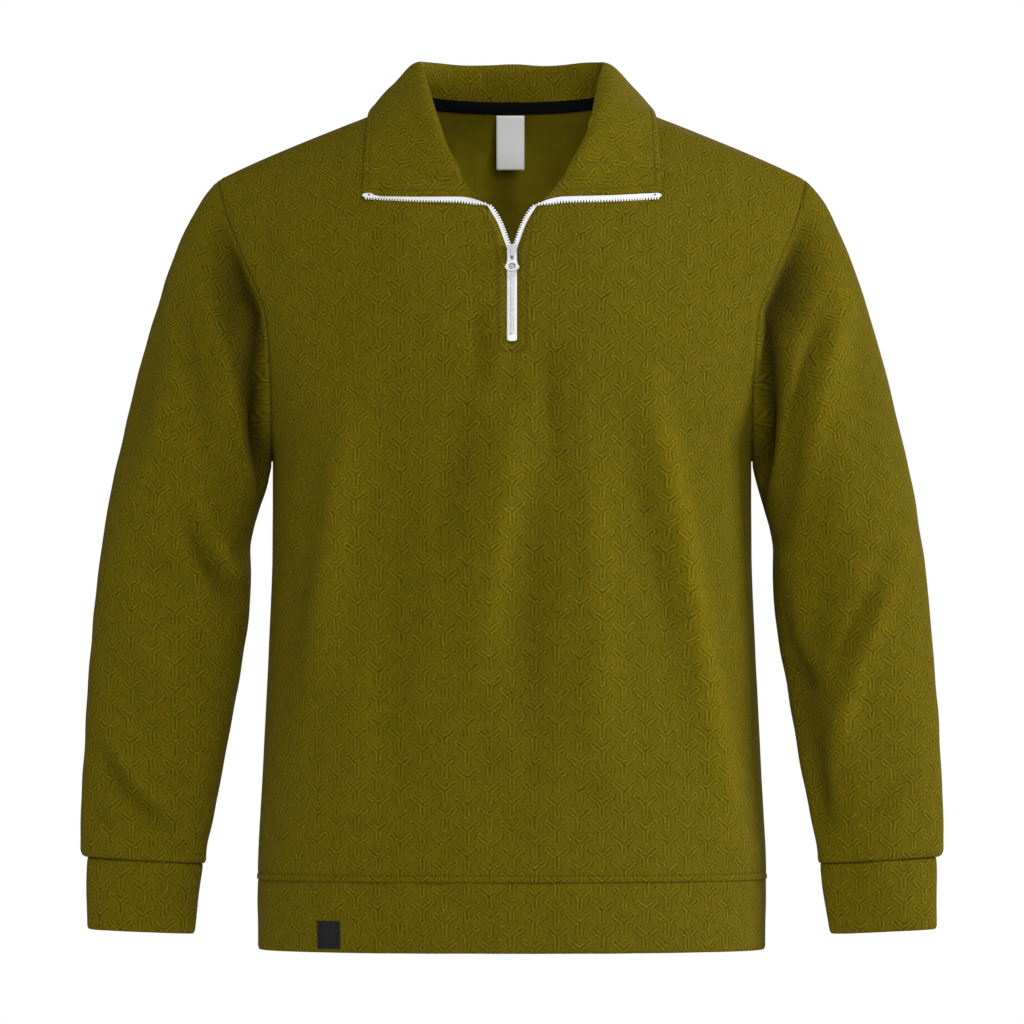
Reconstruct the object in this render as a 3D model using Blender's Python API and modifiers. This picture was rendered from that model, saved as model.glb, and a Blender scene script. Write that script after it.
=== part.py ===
"""Quarter-zip pullover with a turned-down collar, filled out the way it is worn.

Metres, +Z up, the front faces -Y and the wearer's left is +X. The origin is where the wearer's shoulders
carry the garment: on the middle line, level with the neck ends of the shoulder seams.

Every panel is a wall between two skins. The outer skins of front and back lie on one torso form, whose level
sections are superellipses; the sleeves are rings that fan out from the armhole. Neighbouring panels share
the points of their seam and its mitre, so that a seam is an even gap.
"""

import math

import bmesh
import bpy
import numpy as np

# ---------------------------------------------------------------- driving sizes

WALL = 0.0016            # one layer of cloth with its raised pattern
DOUBLE_WALL = 0.0026     # cuffs, hem band and collar are folded double
GAP = 0.0003             # between pieces at a seam

SEAM_HEIGHT = -0.6495    # where the body meets the hem band
HEM_HEIGHT = -0.7080     # lower edge of the garment
BAND_STEP = 0.0009       # the band is pulled in by this much
ARMPIT_HEIGHT = -0.3010
NECK_POINT = (0.0880, 0.0050)         # neck end of the shoulder seam: across, height
SHOULDER_TIP = (0.2460, -0.0652)      # sleeve end of the shoulder seam

SLIT_FOOT = -0.2058      # lower end of the cut for the zip
SLIT_HEIGHTS = (-0.2030, -0.1600, -0.1250, -0.1080, -0.0960, -0.0861)
SLIT_TOP = SLIT_HEIGHTS[-1]           # where the opened edge turns outwards into the collar
ZIP_WIDTH = 0.0084       # closed chain
ZIP_THICKNESS = 0.0018
SLIT_TAPE_WIDTH = 0.0042              # one side of the open zip, cloth tape and teeth
LEAF_TAPE_WIDTH = 0.0060
TAPE_THICKNESS = 0.0010
LEAF_START = 5           # first column of the collar's end that the zip follows
ZIP_CORNER = (-0.0016, -0.0016, -0.0010)         # from the corner of the slit to the zip where it turns over
STOP_HEIGHTS = (-0.2022, -0.1968)
SLIDER_HEIGHTS = (-0.1352, -0.1222)
SLIDER_WIDTH = 0.0082
SLIDER_FACE = 0.0024     # front face of the slider, in front of the cloth
BAIL_WIDTH = 0.0018
BAIL_WIRE = 0.0011
BAIL_REACH = 0.0024      # clear height under the bail
BAIL_HEIGHTS = (-0.1342, -0.1252)
PIVOT_HEIGHT = -0.1318
PULL_THICKNESS = 0.0012
PULL_LEAN = math.radians(6)           # the hanging tab leans in until it lies on the chain
PULL_WINDOW = (0.0015, 0.0006, 0.0046)           # half width, upper and lower end below the pivot
PULL_RING = (0.0108, 0.0031)          # eye in the lower end: distance below the pivot, radius

SECTION_POWER = 2.5      # exponents of a level torso section
SECTION_ROOT = 2.0
RISE_FRONT = {"reach": 0.215, "power": 2.0, "root": 2.0}   # how the form leaves the shoulder line
RISE_BACK = {"reach": 0.280, "power": 1.7, "root": 3.5}

SIDE_ROWS = 13           # side seam, hem band to armpit
ARM_ROWS = 17            # armhole, armpit to shoulder tip
SLIT_ROWS = len(SLIT_HEIGHTS)
FRONT_NECK_ROWS = 7
BACK_NECK_ROWS = 5
PANEL_COLUMNS = 11
COLLAR_STEPS = (3, 2, 2, 3, 3)        # columns of the collar: stand, roll in, roll out, upper and lower fall
FLAT_STATIONS = 2        # profiles beside the zip that have no stand
FLAT_SHARES = (0.0, 0.06, 0.12, 0.20, 0.55, 1.0)
COLLAR_LIFT = 0.0042     # face of the fall above the body
SLEEVE_RINGS = 18

TAPE_HEIGHT = 0.0092     # black tape over the neck seam
LABEL_SIZE = (0.0234, 0.0450)
LABEL_MIDDLE = -0.0013
PATCH_SIZE = (0.0185, 0.0230)
PATCH_MIDDLE = (-0.1520, -0.6935)

OLIVE = (0.107, 0.082, 0.006)
WHITE = (0.80, 0.80, 0.80)
BLACK = (0.012, 0.012, 0.014)
CHARCOAL = (0.045, 0.045, 0.045)
SILVER = (0.62, 0.62, 0.63)


class Table:
    """Rows of named columns, read smoothly between the rows along the first column."""

    def __init__(self, names, rows):
        self.names = names.split()
        self.rows = np.array(rows, dtype=float)

    def column(self, name):
        return self.rows[:, self.names.index(name)]

    def at(self, name, key):
        return smooth(key, self.rows[:, 0], self.column(name))


TORSO = Table("height half_width front_depth back_depth middle", [
    (-0.708, 0.2128, 0.1040, 0.1030, 0.000),
    (-0.650, 0.2128, 0.1075, 0.1040, 0.000),
    (-0.560, 0.2086, 0.1120, 0.1030, 0.000),
    (-0.458, 0.2036, 0.1190, 0.1040, 0.000),
    (-0.374, 0.2004, 0.1250, 0.1080, 0.000),
    (-0.301, 0.2001, 0.1275, 0.1150, 0.000),
    (-0.255, 0.2115, 0.1270, 0.1185, 0.000),
    (-0.215, 0.2225, 0.1250, 0.1200, 0.000),
    (-0.178, 0.2335, 0.1215, 0.1195, 0.001),
    (-0.120, 0.2510, 0.1140, 0.1150, 0.003),
    (-0.065, 0.2620, 0.1060, 0.1080, 0.006),
    (0.000, 0.2640, 0.1030, 0.1010, 0.011),
    (0.040, 0.2640, 0.1000, 0.0980, 0.012),
])

SHOULDER_LINE = Table("across height", [
    (0.000, 0.0080),
    (0.060, 0.0080),
    (0.088, 0.0050),
    (0.105, -0.0035),
    (0.1175, -0.0105),
    (0.1392, -0.0192),
    (0.1768, -0.0343),
    (0.2103, -0.0485),
    (0.2460, -0.0652),
    (0.2700, -0.0770),
])

ARMHOLE = Table("height front back", [
    (-0.3010, 0.2001, 0.2001),
    (-0.2850, 0.2003, 0.2003),
    (-0.2550, 0.2005, 0.2010),
    (-0.2150, 0.2022, 0.2045),
    (-0.1780, 0.2060, 0.2100),
    (-0.1430, 0.2195, 0.2225),
    (-0.1180, 0.2300, 0.2320),
    (-0.0900, 0.2400, 0.2405),
    (-0.0652, 0.2460, 0.2460),
])

# half of the zip slit, then the neck seam, up to the neck point
FRONT_EDGE = Table("height across", [
    (-0.2030, 0.0045),
    (-0.1280, 0.0046),
    (-0.1146, 0.0083),
    (-0.1030, 0.0128),
    (-0.0946, 0.0178),
    (-0.0861, 0.0244),
    (-0.0784, 0.0307),
    (-0.0709, 0.0369),
    (-0.0650, 0.0440),
    (-0.0600, 0.0530),
    (-0.0540, 0.0615),
    (-0.0450, 0.0695),
    (-0.0320, 0.0765),
    (-0.0170, 0.0827),
    (-0.0050, 0.0865),
    (0.0050, 0.0880),
])

BACK_NECK = Table("across height", [
    (0.000, -0.0073),
    (0.020, -0.0070),
    (0.040, -0.0060),
    (0.060, -0.0040),
    (0.076, -0.0010),
    (0.084, 0.0022),
    (0.088, 0.0050),
])

SLEEVE_OUTLINE = Table("height outer", [
    (-0.6362, 0.3545),
    (-0.6320, 0.3583),
    (-0.6253, 0.3600),
    (-0.5920, 0.3596),
    (-0.5417, 0.3574),
    (-0.4748, 0.3532),
    (-0.4080, 0.3474),
    (-0.3411, 0.3381),
    (-0.2742, 0.3240),
    (-0.2073, 0.3072),
    (-0.1572, 0.2922),
    (-0.1070, 0.2730),
    (-0.0820, 0.2595),
    (-0.0652, 0.2460),
])

SLEEVE_INLINE = Table("height inner", [
    (-0.6407, 0.2570),
    (-0.6370, 0.2556),
    (-0.6253, 0.2546),
    (-0.5920, 0.2479),
    (-0.5250, 0.2353),
    (-0.4580, 0.2240),
    (-0.4247, 0.2190),
    (-0.3910, 0.2178),
    (-0.3745, 0.2181),
    (-0.3578, 0.2158),
    (-0.3410, 0.2110),
    (-0.3244, 0.2058),
    (-0.3100, 0.2022),
    (-0.3010, 0.2002),
])

# each ring joins a height on the outer line of the sleeve to one on its inner line
SLEEVE_RINGS_TABLE = Table("along outer_height inner_height half_depth middle", [
    (0.000, -0.0652, -0.3010, 0.0570, 0.003),
    (0.100, -0.1150, -0.3030, 0.0600, 0.003),
    (0.220, -0.1800, -0.3070, 0.0615, 0.002),
    (0.340, -0.2480, -0.3170, 0.0600, 0.000),
    (0.450, -0.3130, -0.3420, 0.0560, -0.001),
    (0.560, -0.3790, -0.3850, 0.0510, -0.003),
    (0.680, -0.4520, -0.4590, 0.0450, -0.007),
    (0.800, -0.5260, -0.5340, 0.0380, -0.012),
    (0.900, -0.5880, -0.5960, 0.0300, -0.017),
    (0.960, -0.6190, -0.6270, 0.0255, -0.020),
    (0.988, -0.6310, -0.6365, 0.0240, -0.021),
    (1.000, -0.6362, -0.6407, 0.0225, -0.021),
])

CUFF = Table("along outer outer_height inner inner_height half_depth middle", [
    (0.00, 0.3535, -0.6365, 0.2580, -0.6410, 0.0210, -0.021),
    (0.50, 0.3549, -0.6630, 0.2612, -0.6675, 0.0205, -0.022),
    (1.00, 0.3543, -0.6903, 0.2653, -0.6943, 0.0190, -0.024),
])

# along the neck seam: 0 at the zip, 1 at the neck point, 2 at the middle of the back
COLLAR = Table("along roll_x roll_y roll_z roll_width edge_x edge_y edge_z", [
    (0.00, 0.0245, -0.0877, -0.0846, 0.008, 0.1245, -0.0715, -0.0786),
    (0.14, 0.0379, -0.0800, -0.0685, 0.008, 0.1238, -0.0625, -0.0635),
    (0.29, 0.0525, -0.0765, -0.0510, 0.008, 0.1230, -0.0525, -0.0483),
    (0.43, 0.0580, -0.0690, -0.0370, 0.009, 0.1223, -0.0415, -0.0345),
    (0.57, 0.0635, -0.0560, -0.0200, 0.009, 0.1218, -0.0290, -0.0220),
    (0.71, 0.0680, -0.0390, -0.0030, 0.010, 0.1211, -0.0151, -0.0124),
    (0.86, 0.0716, -0.0190, 0.0130, 0.010, 0.1201, 0.0010, -0.0075),
    (1.00, 0.0752, 0.0050, 0.0310, 0.010, 0.1180, 0.0150, -0.0052),
    (1.20, 0.0745, 0.0330, 0.0335, 0.010, 0.1090, 0.0465, -0.0028),
    (1.40, 0.0641, 0.0510, 0.0340, 0.010, 0.0890, 0.0665, -0.0075),
    (1.60, 0.0467, 0.0610, 0.0339, 0.010, 0.0630, 0.0725, -0.0130),
    (1.80, 0.0243, 0.0665, 0.0334, 0.010, 0.0323, 0.0760, -0.0153),
    (2.00, 0.0000, 0.0680, 0.0330, 0.010, 0.0000, 0.0775, -0.0160),
])

# half width of the pull tab, from its upper end to its lower end, measured down from the pivot
PULL_OUTLINE = Table("down half_width", [
    (-0.0006, 0.0033),
    (0.0039, 0.0038),
    (0.0085, 0.0046),
    (0.0118, 0.0061),
    (0.0136, 0.0046),
    (0.0150, 0.0022),
])

# the largest folds, seen from the piece's own side; height below zero is a trough
FOLDS = Table("side x1 z1 x2 z2 x3 z3 width height", [
    (-1, -0.025, -0.180, -0.025, -0.205, -0.026, -0.235, 0.012, -0.0025),
    (-1, 0.026, -0.192, 0.030, -0.240, 0.040, -0.325, 0.014, -0.0025),
    (-1, 0.120, -0.245, 0.147, -0.400, 0.185, -0.610, 0.024, 0.0050),
    (-1, 0.105, -0.255, 0.122, -0.370, 0.145, -0.500, 0.022, -0.0050),
    (-1, -0.123, -0.245, -0.142, -0.350, -0.155, -0.450, 0.028, 0.0040),
    (-1, -0.152, -0.285, -0.172, -0.400, -0.190, -0.540, 0.024, -0.0045),
    (-1, 0.000, -0.245, -0.006, -0.330, -0.014, -0.440, 0.026, 0.0030),
    (-1, -0.042, -0.310, -0.046, -0.400, -0.050, -0.490, 0.024, -0.0030),
    (-1, -0.250, -0.143, -0.236, -0.190, -0.220, -0.232, 0.014, -0.0060),
    (-1, -0.278, -0.160, -0.266, -0.225, -0.243, -0.303, 0.014, -0.0060),
    (-1, -0.297, -0.195, -0.308, -0.245, -0.315, -0.292, 0.016, -0.0040),
    (-1, -0.268, -0.345, -0.247, -0.390, -0.226, -0.413, 0.014, -0.0070),
    (-1, -0.348, -0.532, -0.320, -0.575, -0.280, -0.608, 0.013, -0.0055),
    (-1, 0.262, -0.170, 0.240, -0.250, 0.223, -0.368, 0.013, -0.0070),
    (-1, 0.275, -0.140, 0.272, -0.215, 0.262, -0.273, 0.016, 0.0050),
    (-1, 0.291, -0.195, 0.297, -0.260, 0.302, -0.322, 0.018, -0.0035),
    (-1, 0.312, -0.380, 0.275, -0.470, 0.252, -0.543, 0.014, -0.0065),
    (-1, 0.224, -0.405, 0.230, -0.465, 0.251, -0.490, 0.013, -0.0050),
    (1, -0.110, -0.150, -0.135, -0.290, -0.160, -0.460, 0.026, -0.0045),
    (1, 0.100, -0.170, 0.130, -0.300, 0.150, -0.440, 0.026, -0.0045),
    (1, 0.030, -0.330, 0.020, -0.450, 0.028, -0.600, 0.030, 0.0040),
    (1, -0.255, -0.150, -0.245, -0.230, -0.228, -0.310, 0.015, -0.0060),
    (1, -0.290, -0.390, -0.262, -0.420, -0.232, -0.430, 0.014, -0.0060),
    (1, -0.335, -0.520, -0.300, -0.560, -0.272, -0.590, 0.013, -0.0050),
    (1, 0.258, -0.140, 0.244, -0.235, 0.226, -0.320, 0.015, -0.0060),
    (1, 0.320, -0.390, 0.280, -0.425, 0.240, -0.440, 0.014, -0.0060),
    (1, 0.338, -0.500, 0.300, -0.560, 0.268, -0.600, 0.013, -0.0050),
])


# ---------------------------------------------------------------- curves and forms

def smooth(key, keys, values):
    """Cubic through the rows whose slopes never overshoot (harmonic mean of the neighbouring slopes)."""
    step = np.diff(keys)
    slope = np.diff(values) / step
    same_way = slope[:-1] * slope[1:] > 0
    mean = 2 * slope[:-1] * slope[1:] / np.where(same_way, slope[:-1] + slope[1:], 1.0)
    tangent = np.concatenate(([slope[0]], np.where(same_way, mean, 0.0), [slope[-1]]))
    key = np.clip(key, keys[0], keys[-1])
    row = np.clip(np.searchsorted(keys, key) - 1, 0, len(step) - 1)
    t = (key - keys[row]) / step[row]
    return (values[row] * (1 + 2 * t) * (1 - t) ** 2 + values[row + 1] * t ** 2 * (3 - 2 * t)
            + step[row] * (tangent[row] * t * (1 - t) ** 2 - tangent[row + 1] * t ** 2 * (1 - t)))


def ease(value, start, end):
    """Smooth step from 0 at start to 1 at end."""
    t = np.clip((value - start) / (end - start), 0.0, 1.0)
    return t * t * (3 - 2 * t)


def unit(vectors):
    """Vectors of length one."""
    return vectors / np.maximum(np.linalg.norm(vectors, axis=-1, keepdims=True), 1e-12)


def torso_depth(across, height, side):
    """Y of the torso form: a superellipse section times the rise away from the shoulder line."""
    rise = RISE_FRONT if side < 0 else RISE_BACK
    reach = np.abs(across) / TORSO.at("half_width", height)
    section = (1 - np.clip(reach, 0, 1) ** SECTION_POWER) ** (1 / SECTION_ROOT)
    drop = SHOULDER_LINE.at("height", np.abs(across)) - height
    below = np.clip(drop / rise["reach"], 0, 1)
    leave = (1 - (1 - below) ** rise["power"]) ** (1 / rise["root"])
    depth = TORSO.at("front_depth" if side < 0 else "back_depth", height)
    return TORSO.at("middle", height) + side * depth * section * leave


def on_form(across, height, side):
    """Points of the torso form."""
    return np.stack([across, torso_depth(across, height, side), height], axis=-1)


def even_points(path, count):
    """The same path with count + 1 points at even lengths."""
    length = np.concatenate(([0.0], np.cumsum(np.linalg.norm(np.diff(path, axis=0), axis=1))))
    wanted = np.linspace(0, length[-1], count + 1)
    return np.stack([np.interp(wanted, length, path[:, k]) for k in range(3)], axis=-1)


def cosine_steps(start, end, count=400):
    """Heights that crowd towards both ends."""
    return start + (end - start) * (1 - np.cos(np.linspace(0, math.pi, count))) / 2


def armhole_path(side):
    """Armhole seam of one half, armpit to shoulder tip."""
    height = cosine_steps(ARMPIT_HEIGHT, SHOULDER_TIP[1])
    across = ARMHOLE.at("front" if side < 0 else "back", height)
    return even_points(on_form(across, height, side), ARM_ROWS)


def front_inner_path():
    """Middle line from the armpit's height up, one edge of the slit, and the neck seam."""
    middle = np.linspace(ARMPIT_HEIGHT, SLIT_FOOT, ARM_ROWS - SLIT_ROWS - FRONT_NECK_ROWS + 1)
    slit = np.array(SLIT_HEIGHTS)
    neck_heights = cosine_steps(SLIT_TOP, NECK_POINT[1])
    neck = even_points(on_form(FRONT_EDGE.at("across", neck_heights), neck_heights, -1), FRONT_NECK_ROWS)
    height = np.concatenate([middle, slit, neck[1:, 2]])
    across = np.concatenate([0 * middle, FRONT_EDGE.at("across", slit), neck[1:, 0]])
    return across, height


def back_inner_path():
    """Middle line from the armpit's height up, and the back neck seam."""
    low = BACK_NECK.at("height", 0.0)
    middle = np.linspace(ARMPIT_HEIGHT, low, ARM_ROWS - BACK_NECK_ROWS + 1)
    across = cosine_steps(0.0, NECK_POINT[0])
    neck = even_points(on_form(across, BACK_NECK.at("height", across), 1), BACK_NECK_ROWS)
    return np.concatenate([0 * middle, neck[1:, 0]]), np.concatenate([middle, neck[1:, 2]])


def half_panel(side):
    """Grid of points of one half of the front (side -1) or back (side 1), x above zero.

    Rows run from the hem band to the shoulder seam, columns from the middle to the side seam and armhole.
    Low rows are level. High rows keep their drop below the shoulder line between their two ends.
    """
    low = np.linspace(SEAM_HEIGHT, ARMPIT_HEIGHT, SIDE_ROWS + 1)[:-1]
    inner_x, inner_z = front_inner_path() if side < 0 else back_inner_path()
    arm = armhole_path(side)
    inner_x = np.concatenate([0 * low, inner_x])[:, None]
    inner_z = np.concatenate([low, inner_z])[:, None]
    outer_x = np.concatenate([TORSO.at("half_width", low), arm[:, 0]])[:, None]
    outer_z = np.concatenate([low, arm[:, 2]])[:, None]
    along = np.linspace(0, 1, PANEL_COLUMNS + 1)[None, :]
    turn_in = np.arcsin(np.clip(inner_x / TORSO.at("half_width", inner_z), 0, 1))
    turn_out = np.arcsin(np.clip(outer_x / TORSO.at("half_width", outer_z), 0, 1))
    turn = turn_in + (turn_out - turn_in) * along
    level = inner_z + (outer_z - inner_z) * along
    drop_in = SHOULDER_LINE.at("height", inner_x) - inner_z
    drop_out = SHOULDER_LINE.at("height", outer_x) - outer_z
    drop = drop_in + (drop_out - drop_in) * along
    slope = ease(np.arange(len(inner_z))[:, None], SIDE_ROWS, SIDE_ROWS + ARM_ROWS * 0.7)
    height = level
    for _ in range(4):
        across = TORSO.at("half_width", height) * np.sin(turn)
        height = (1 - slope) * level + slope * (SHOULDER_LINE.at("height", across) - drop)
    grid = on_form(across, height, side)
    grid[:, -1, 1] = np.concatenate([0 * low + TORSO.at("middle", low), arm[:, 1]])
    return grid


def fold_relief(points, side):
    """Height of the folds at the points: a soft bell across each fold, fading towards its two ends."""
    relief = np.zeros(points.shape[:-1])
    t = np.linspace(0, 1, 15)
    for row in FOLDS.rows[FOLDS.column("side") == side]:
        x1, z1, x2, z2, x3, z3, width, height = row[1:]
        bend_x = 2 * x2 - (x1 + x3) / 2
        bend_z = 2 * z2 - (z1 + z3) / 2
        line_x = (1 - t) ** 2 * x1 + 2 * t * (1 - t) * bend_x + t ** 2 * x3
        line_z = (1 - t) ** 2 * z1 + 2 * t * (1 - t) * bend_z + t ** 2 * z3
        apart = np.hypot(points[..., 0, None] - line_x, points[..., 2, None] - line_z)
        nearest = apart.argmin(axis=-1)
        taper = np.sin(math.pi * np.clip(t[nearest], 0.04, 0.96)) ** 0.6
        relief += height * taper * np.exp(-(apart.min(axis=-1) / width) ** 2)
    return relief


# ---------------------------------------------------------------- meshes and objects

def vertex_normals(points, quads):
    """Area-weighted normals of a quad mesh."""
    a, b, c, d = (points[quads[:, k]] for k in range(4))
    face = np.cross(c - a, d - b)
    normals = np.zeros_like(points)
    for k in range(4):
        np.add.at(normals, quads[:, k], face)
    return unit(normals)


def grid_quads(index, flip):
    """Quads over a grid of point numbers."""
    quads = np.stack([index[:-1, :-1], index[:-1, 1:], index[1:, 1:], index[1:, :-1]], axis=-1).reshape(-1, 4)
    return quads[:, [0, 3, 2, 1]] if flip else quads


def closed_index(rings, around):
    """Point numbers of a tube, its first column repeated at the end."""
    index = np.arange(rings * around).reshape(rings, around)
    return np.concatenate([index, index[:, :1]], axis=1)


def border_edges(quads):
    """Directed edges that only one quad has."""
    edges = np.concatenate([quads[:, [k, (k + 1) % 4]] for k in range(4)])
    there = {tuple(edge) for edge in edges.tolist()}
    return np.array([edge for edge in edges.tolist() if (edge[1], edge[0]) not in there])


def add_material(thing, name, colour, roughness, metallic=0.0):
    """A Principled material of its own."""
    material = bpy.data.materials.new(name)
    material.use_nodes = True
    shader = material.node_tree.nodes["Principled BSDF"]
    shader.inputs["Base Color"].default_value = (*colour, 1.0)
    shader.inputs["Roughness"].default_value = roughness
    shader.inputs["Metallic"].default_value = metallic
    thing.data.materials.append(material)


def add_object(collection, name, points, faces, colour, roughness=0.9, metallic=0.0):
    """A smooth-shaded mesh object in the collection."""
    mesh = bpy.data.meshes.new(name)
    mesh.from_pydata(points.tolist(), [], [list(face) for face in faces])
    mesh.shade_smooth()
    thing = bpy.data.objects.new(name, mesh)
    collection.objects.link(thing)
    add_material(thing, name, colour, roughness, metallic)
    return thing


def add_wall(collection, name, skin, thickness, colour):
    """A closed wall: the outer skin, the same skin moved in along its normals, and a rim.

    Both skins are split along the same diagonals, so that they stay apart where a quad is twisted. The rim's
    diagonals run from the upper outer point to the lower inner one, on both sides of a seam alike.
    """
    points, quads, normals = skin
    count = len(points)
    inner = points - normals * thickness
    skins = np.concatenate([quads[:, [0, 1, 2]], quads[:, [0, 2, 3]]])
    a, b = border_edges(quads).T
    rising = points[a, 2] < points[b, 2]
    rim = np.concatenate([np.stack([b, a, np.where(rising, a, b) + count], axis=-1),
                          np.stack([np.where(rising, b, a), a + count, b + count], axis=-1)])
    faces = np.concatenate([skins, skins[:, ::-1] + count, rim])
    return add_object(collection, name, np.concatenate([points, inner]), faces.tolist(), colour)


def add_solidify(thing, thickness, offset=-1.0):
    """Thickness for an open surface."""
    modifier = thing.modifiers.new("thickness", "SOLIDIFY")
    modifier.thickness = thickness
    modifier.offset = offset
    modifier.use_even_offset = True


# ---------------------------------------------------------------- torso panels

def panel_skin(side):
    """Points, quads, normals and the two index grids (x above zero, x below zero) of front or back."""
    half = half_panel(side)
    rows, columns = half.shape[:2]
    slit_row = SIDE_ROWS + ARM_ROWS - SLIT_ROWS - FRONT_NECK_ROWS
    joined = slit_row + 1 if side < 0 else SIDE_ROWS + ARM_ROWS - BACK_NECK_ROWS + 1
    index_a = np.arange(rows * columns).reshape(rows, columns)
    mirrored = half * np.array([-1.0, 1.0, 1.0])
    index_b = index_a + rows * columns
    index_b[:joined, 0] = index_a[:joined, 0]
    points = np.concatenate([half.reshape(-1, 3), mirrored.reshape(-1, 3)])
    quads = np.concatenate([grid_quads(index_a, side > 0), grid_quads(index_b, side < 0)])
    used, packed = np.unique(quads, return_inverse=True)
    place = np.full(len(points), -1)
    place[used] = np.arange(len(used))
    points = points[used]
    quads = packed.reshape(-1, 4)
    index_a, index_b = place[index_a], place[index_b]
    row = np.arange(rows)[:, None]
    column = np.arange(columns)[None, :]
    inner_fade = ease(column, 0, 1.5) * (row >= joined) + (row < joined)
    fade = ease(row, 0, 2) * ease(rows - 1 - row, 0, 3) * ease(columns - 1 - column, 0, 2) * inner_fade
    weight = np.zeros(len(points))
    weight[index_a] = fade
    weight[index_b] = fade
    normals = vertex_normals(points, quads)
    points = points + normals * (fold_relief(points, side) * weight)[:, None]
    return [points, quads, vertex_normals(points, quads)], index_a, index_b


def share_normals(skin_a, index_a, skin_b, index_b):
    """Both skins get the mean normal along the seam they share, so that their rims are parallel."""
    mean = unit(skin_a[2][index_a] + skin_b[2][index_b])
    skin_a[2][index_a] = mean
    skin_b[2][index_b] = mean


def part_seam(skin, edge, next_row, distance):
    """Moves a seam's points off the seam, square to it and within the skin, towards the next row."""
    points = skin[0]
    away = points[next_row] - points[edge]
    if len(edge) > 1:
        along = unit(np.gradient(points[edge], axis=0))
        away = away - (away * along).sum(axis=1, keepdims=True) * along
    normals = skin[2][edge]
    away = away - (away * normals).sum(axis=1, keepdims=True) * normals
    points[edge] = points[edge] + unit(away) * distance


# ---------------------------------------------------------------- sleeves, cuffs, hem band

def ring(outer, inner, half_depth, middle, around):
    """Ellipse round the line from the outer to the inner end; the first half is the front."""
    angle = np.linspace(0, 2 * math.pi, around, endpoint=False)
    centre = (outer + inner) / 2
    reach = (outer - inner) / 2
    across = centre[0] + reach[0] * np.cos(angle)
    height = centre[1] + reach[1] * np.cos(angle)
    return np.stack([across, middle - half_depth * np.sin(angle), height], axis=-1)


def sleeve_skin(mirror):
    """Rings from the armhole to the cuff; the first follows the armhole and the next ones forget it."""
    around = 2 * ARM_ROWS
    steps = np.concatenate([np.linspace(0, 0.96, SLEEVE_RINGS), [0.988, 1.0]])
    rings = []
    for along in steps:
        outer_z = SLEEVE_RINGS_TABLE.at("outer_height", along)
        inner_z = SLEEVE_RINGS_TABLE.at("inner_height", along)
        outer = np.array([SLEEVE_OUTLINE.at("outer", outer_z), outer_z])
        inner = np.array([SLEEVE_INLINE.at("inner", inner_z), inner_z])
        half_depth = SLEEVE_RINGS_TABLE.at("half_depth", along)
        rings.append(ring(outer, inner, half_depth, SLEEVE_RINGS_TABLE.at("middle", along), around))
    rings = np.array(rings)
    front, back = armhole_path(-1), armhole_path(1)
    armhole = np.concatenate([front[::-1], back[1:-1]])
    memory = 1 - ease(steps, 0.0, 0.42)
    rings = rings + memory[:, None, None] * (armhole - rings[0])
    if mirror:
        rings = rings * np.array([-1.0, 1.0, 1.0])
    index = closed_index(len(steps), around)
    quads = grid_quads(index, mirror)
    points = rings.reshape(-1, 3)
    normals = vertex_normals(points, quads)
    angle = np.linspace(0, 2 * math.pi, around, endpoint=False)
    row = np.arange(len(steps))
    fade = (ease(row, 0, 2) * ease(len(steps) - 1 - row, 0, 3))[:, None]
    relief = np.zeros(rings.shape[:2])
    for side in (-1, 1):
        facing = ease(-side * np.sin(angle), 0.0, 0.5)
        relief += fold_relief(rings, side) * facing * fade
    points = points + normals * relief.reshape(-1, 1)
    return [points, quads, vertex_normals(points, quads)], index[:, :-1]


def flatten_end_normals(skin, end, before):
    """Normals of an end ring lie in the ring's plane, so that its rim faces straight along the tube."""
    points = skin[0][end]
    axis = unit(points.mean(axis=0) - skin[0][before].mean(axis=0))
    normals = skin[2][end]
    skin[2][end] = unit(normals - (normals @ axis)[:, None] * axis)


def cuff_points():
    """Rings of the left cuff."""
    rings = []
    for along in np.linspace(0, 1, 4):
        outer = np.array([CUFF.at("outer", along), CUFF.at("outer_height", along)])
        inner = np.array([CUFF.at("inner", along), CUFF.at("inner_height", along)])
        rings.append(ring(outer, inner, CUFF.at("half_depth", along), CUFF.at("middle", along), 2 * ARM_ROWS))
    return np.array(rings)


def add_cuff(collection, name, mirror):
    """A short tube of doubled cloth."""
    rings = cuff_points()
    rings[0, :, 2] -= GAP
    if mirror:
        rings = rings * np.array([-1.0, 1.0, 1.0])
    quads = grid_quads(closed_index(*rings.shape[:2]), mirror)
    thing = add_object(collection, name, rings.reshape(-1, 3), quads.tolist(), OLIVE)
    add_solidify(thing, DOUBLE_WALL)


def band_section(height, step):
    """One level ring of the hem band, on the torso form pulled in by the step."""
    turn = np.linspace(0, 2 * math.pi, 4 * PANEL_COLUMNS, endpoint=False)
    half_width = TORSO.at("half_width", height) - step
    across = half_width * np.sin(turn)
    section = (1 - np.clip(np.abs(np.sin(turn)), 0, 1) ** SECTION_POWER) ** (1 / SECTION_ROOT)
    front = np.cos(turn) > 0
    depth = np.where(front, -TORSO.at("front_depth", height), TORSO.at("back_depth", height))
    depth = depth + step * np.where(front, 1, -1)
    return np.stack([across, depth * section, 0 * across + height], axis=-1)


def add_hem_band(collection):
    """The doubled band round the lower edge."""
    heights = np.linspace(SEAM_HEIGHT - GAP, HEM_HEIGHT, 4)
    steps = BAND_STEP * np.array([1.0, 0.6, 0.8, 1.0])
    rings = np.array([band_section(height, step) for height, step in zip(heights, steps)])
    quads = grid_quads(closed_index(*rings.shape[:2]), True)
    thing = add_object(collection, "hem_band", rings.reshape(-1, 3), quads.tolist(), OLIVE)
    add_solidify(thing, DOUBLE_WALL)


# ---------------------------------------------------------------- collar, neck tape, label

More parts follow.
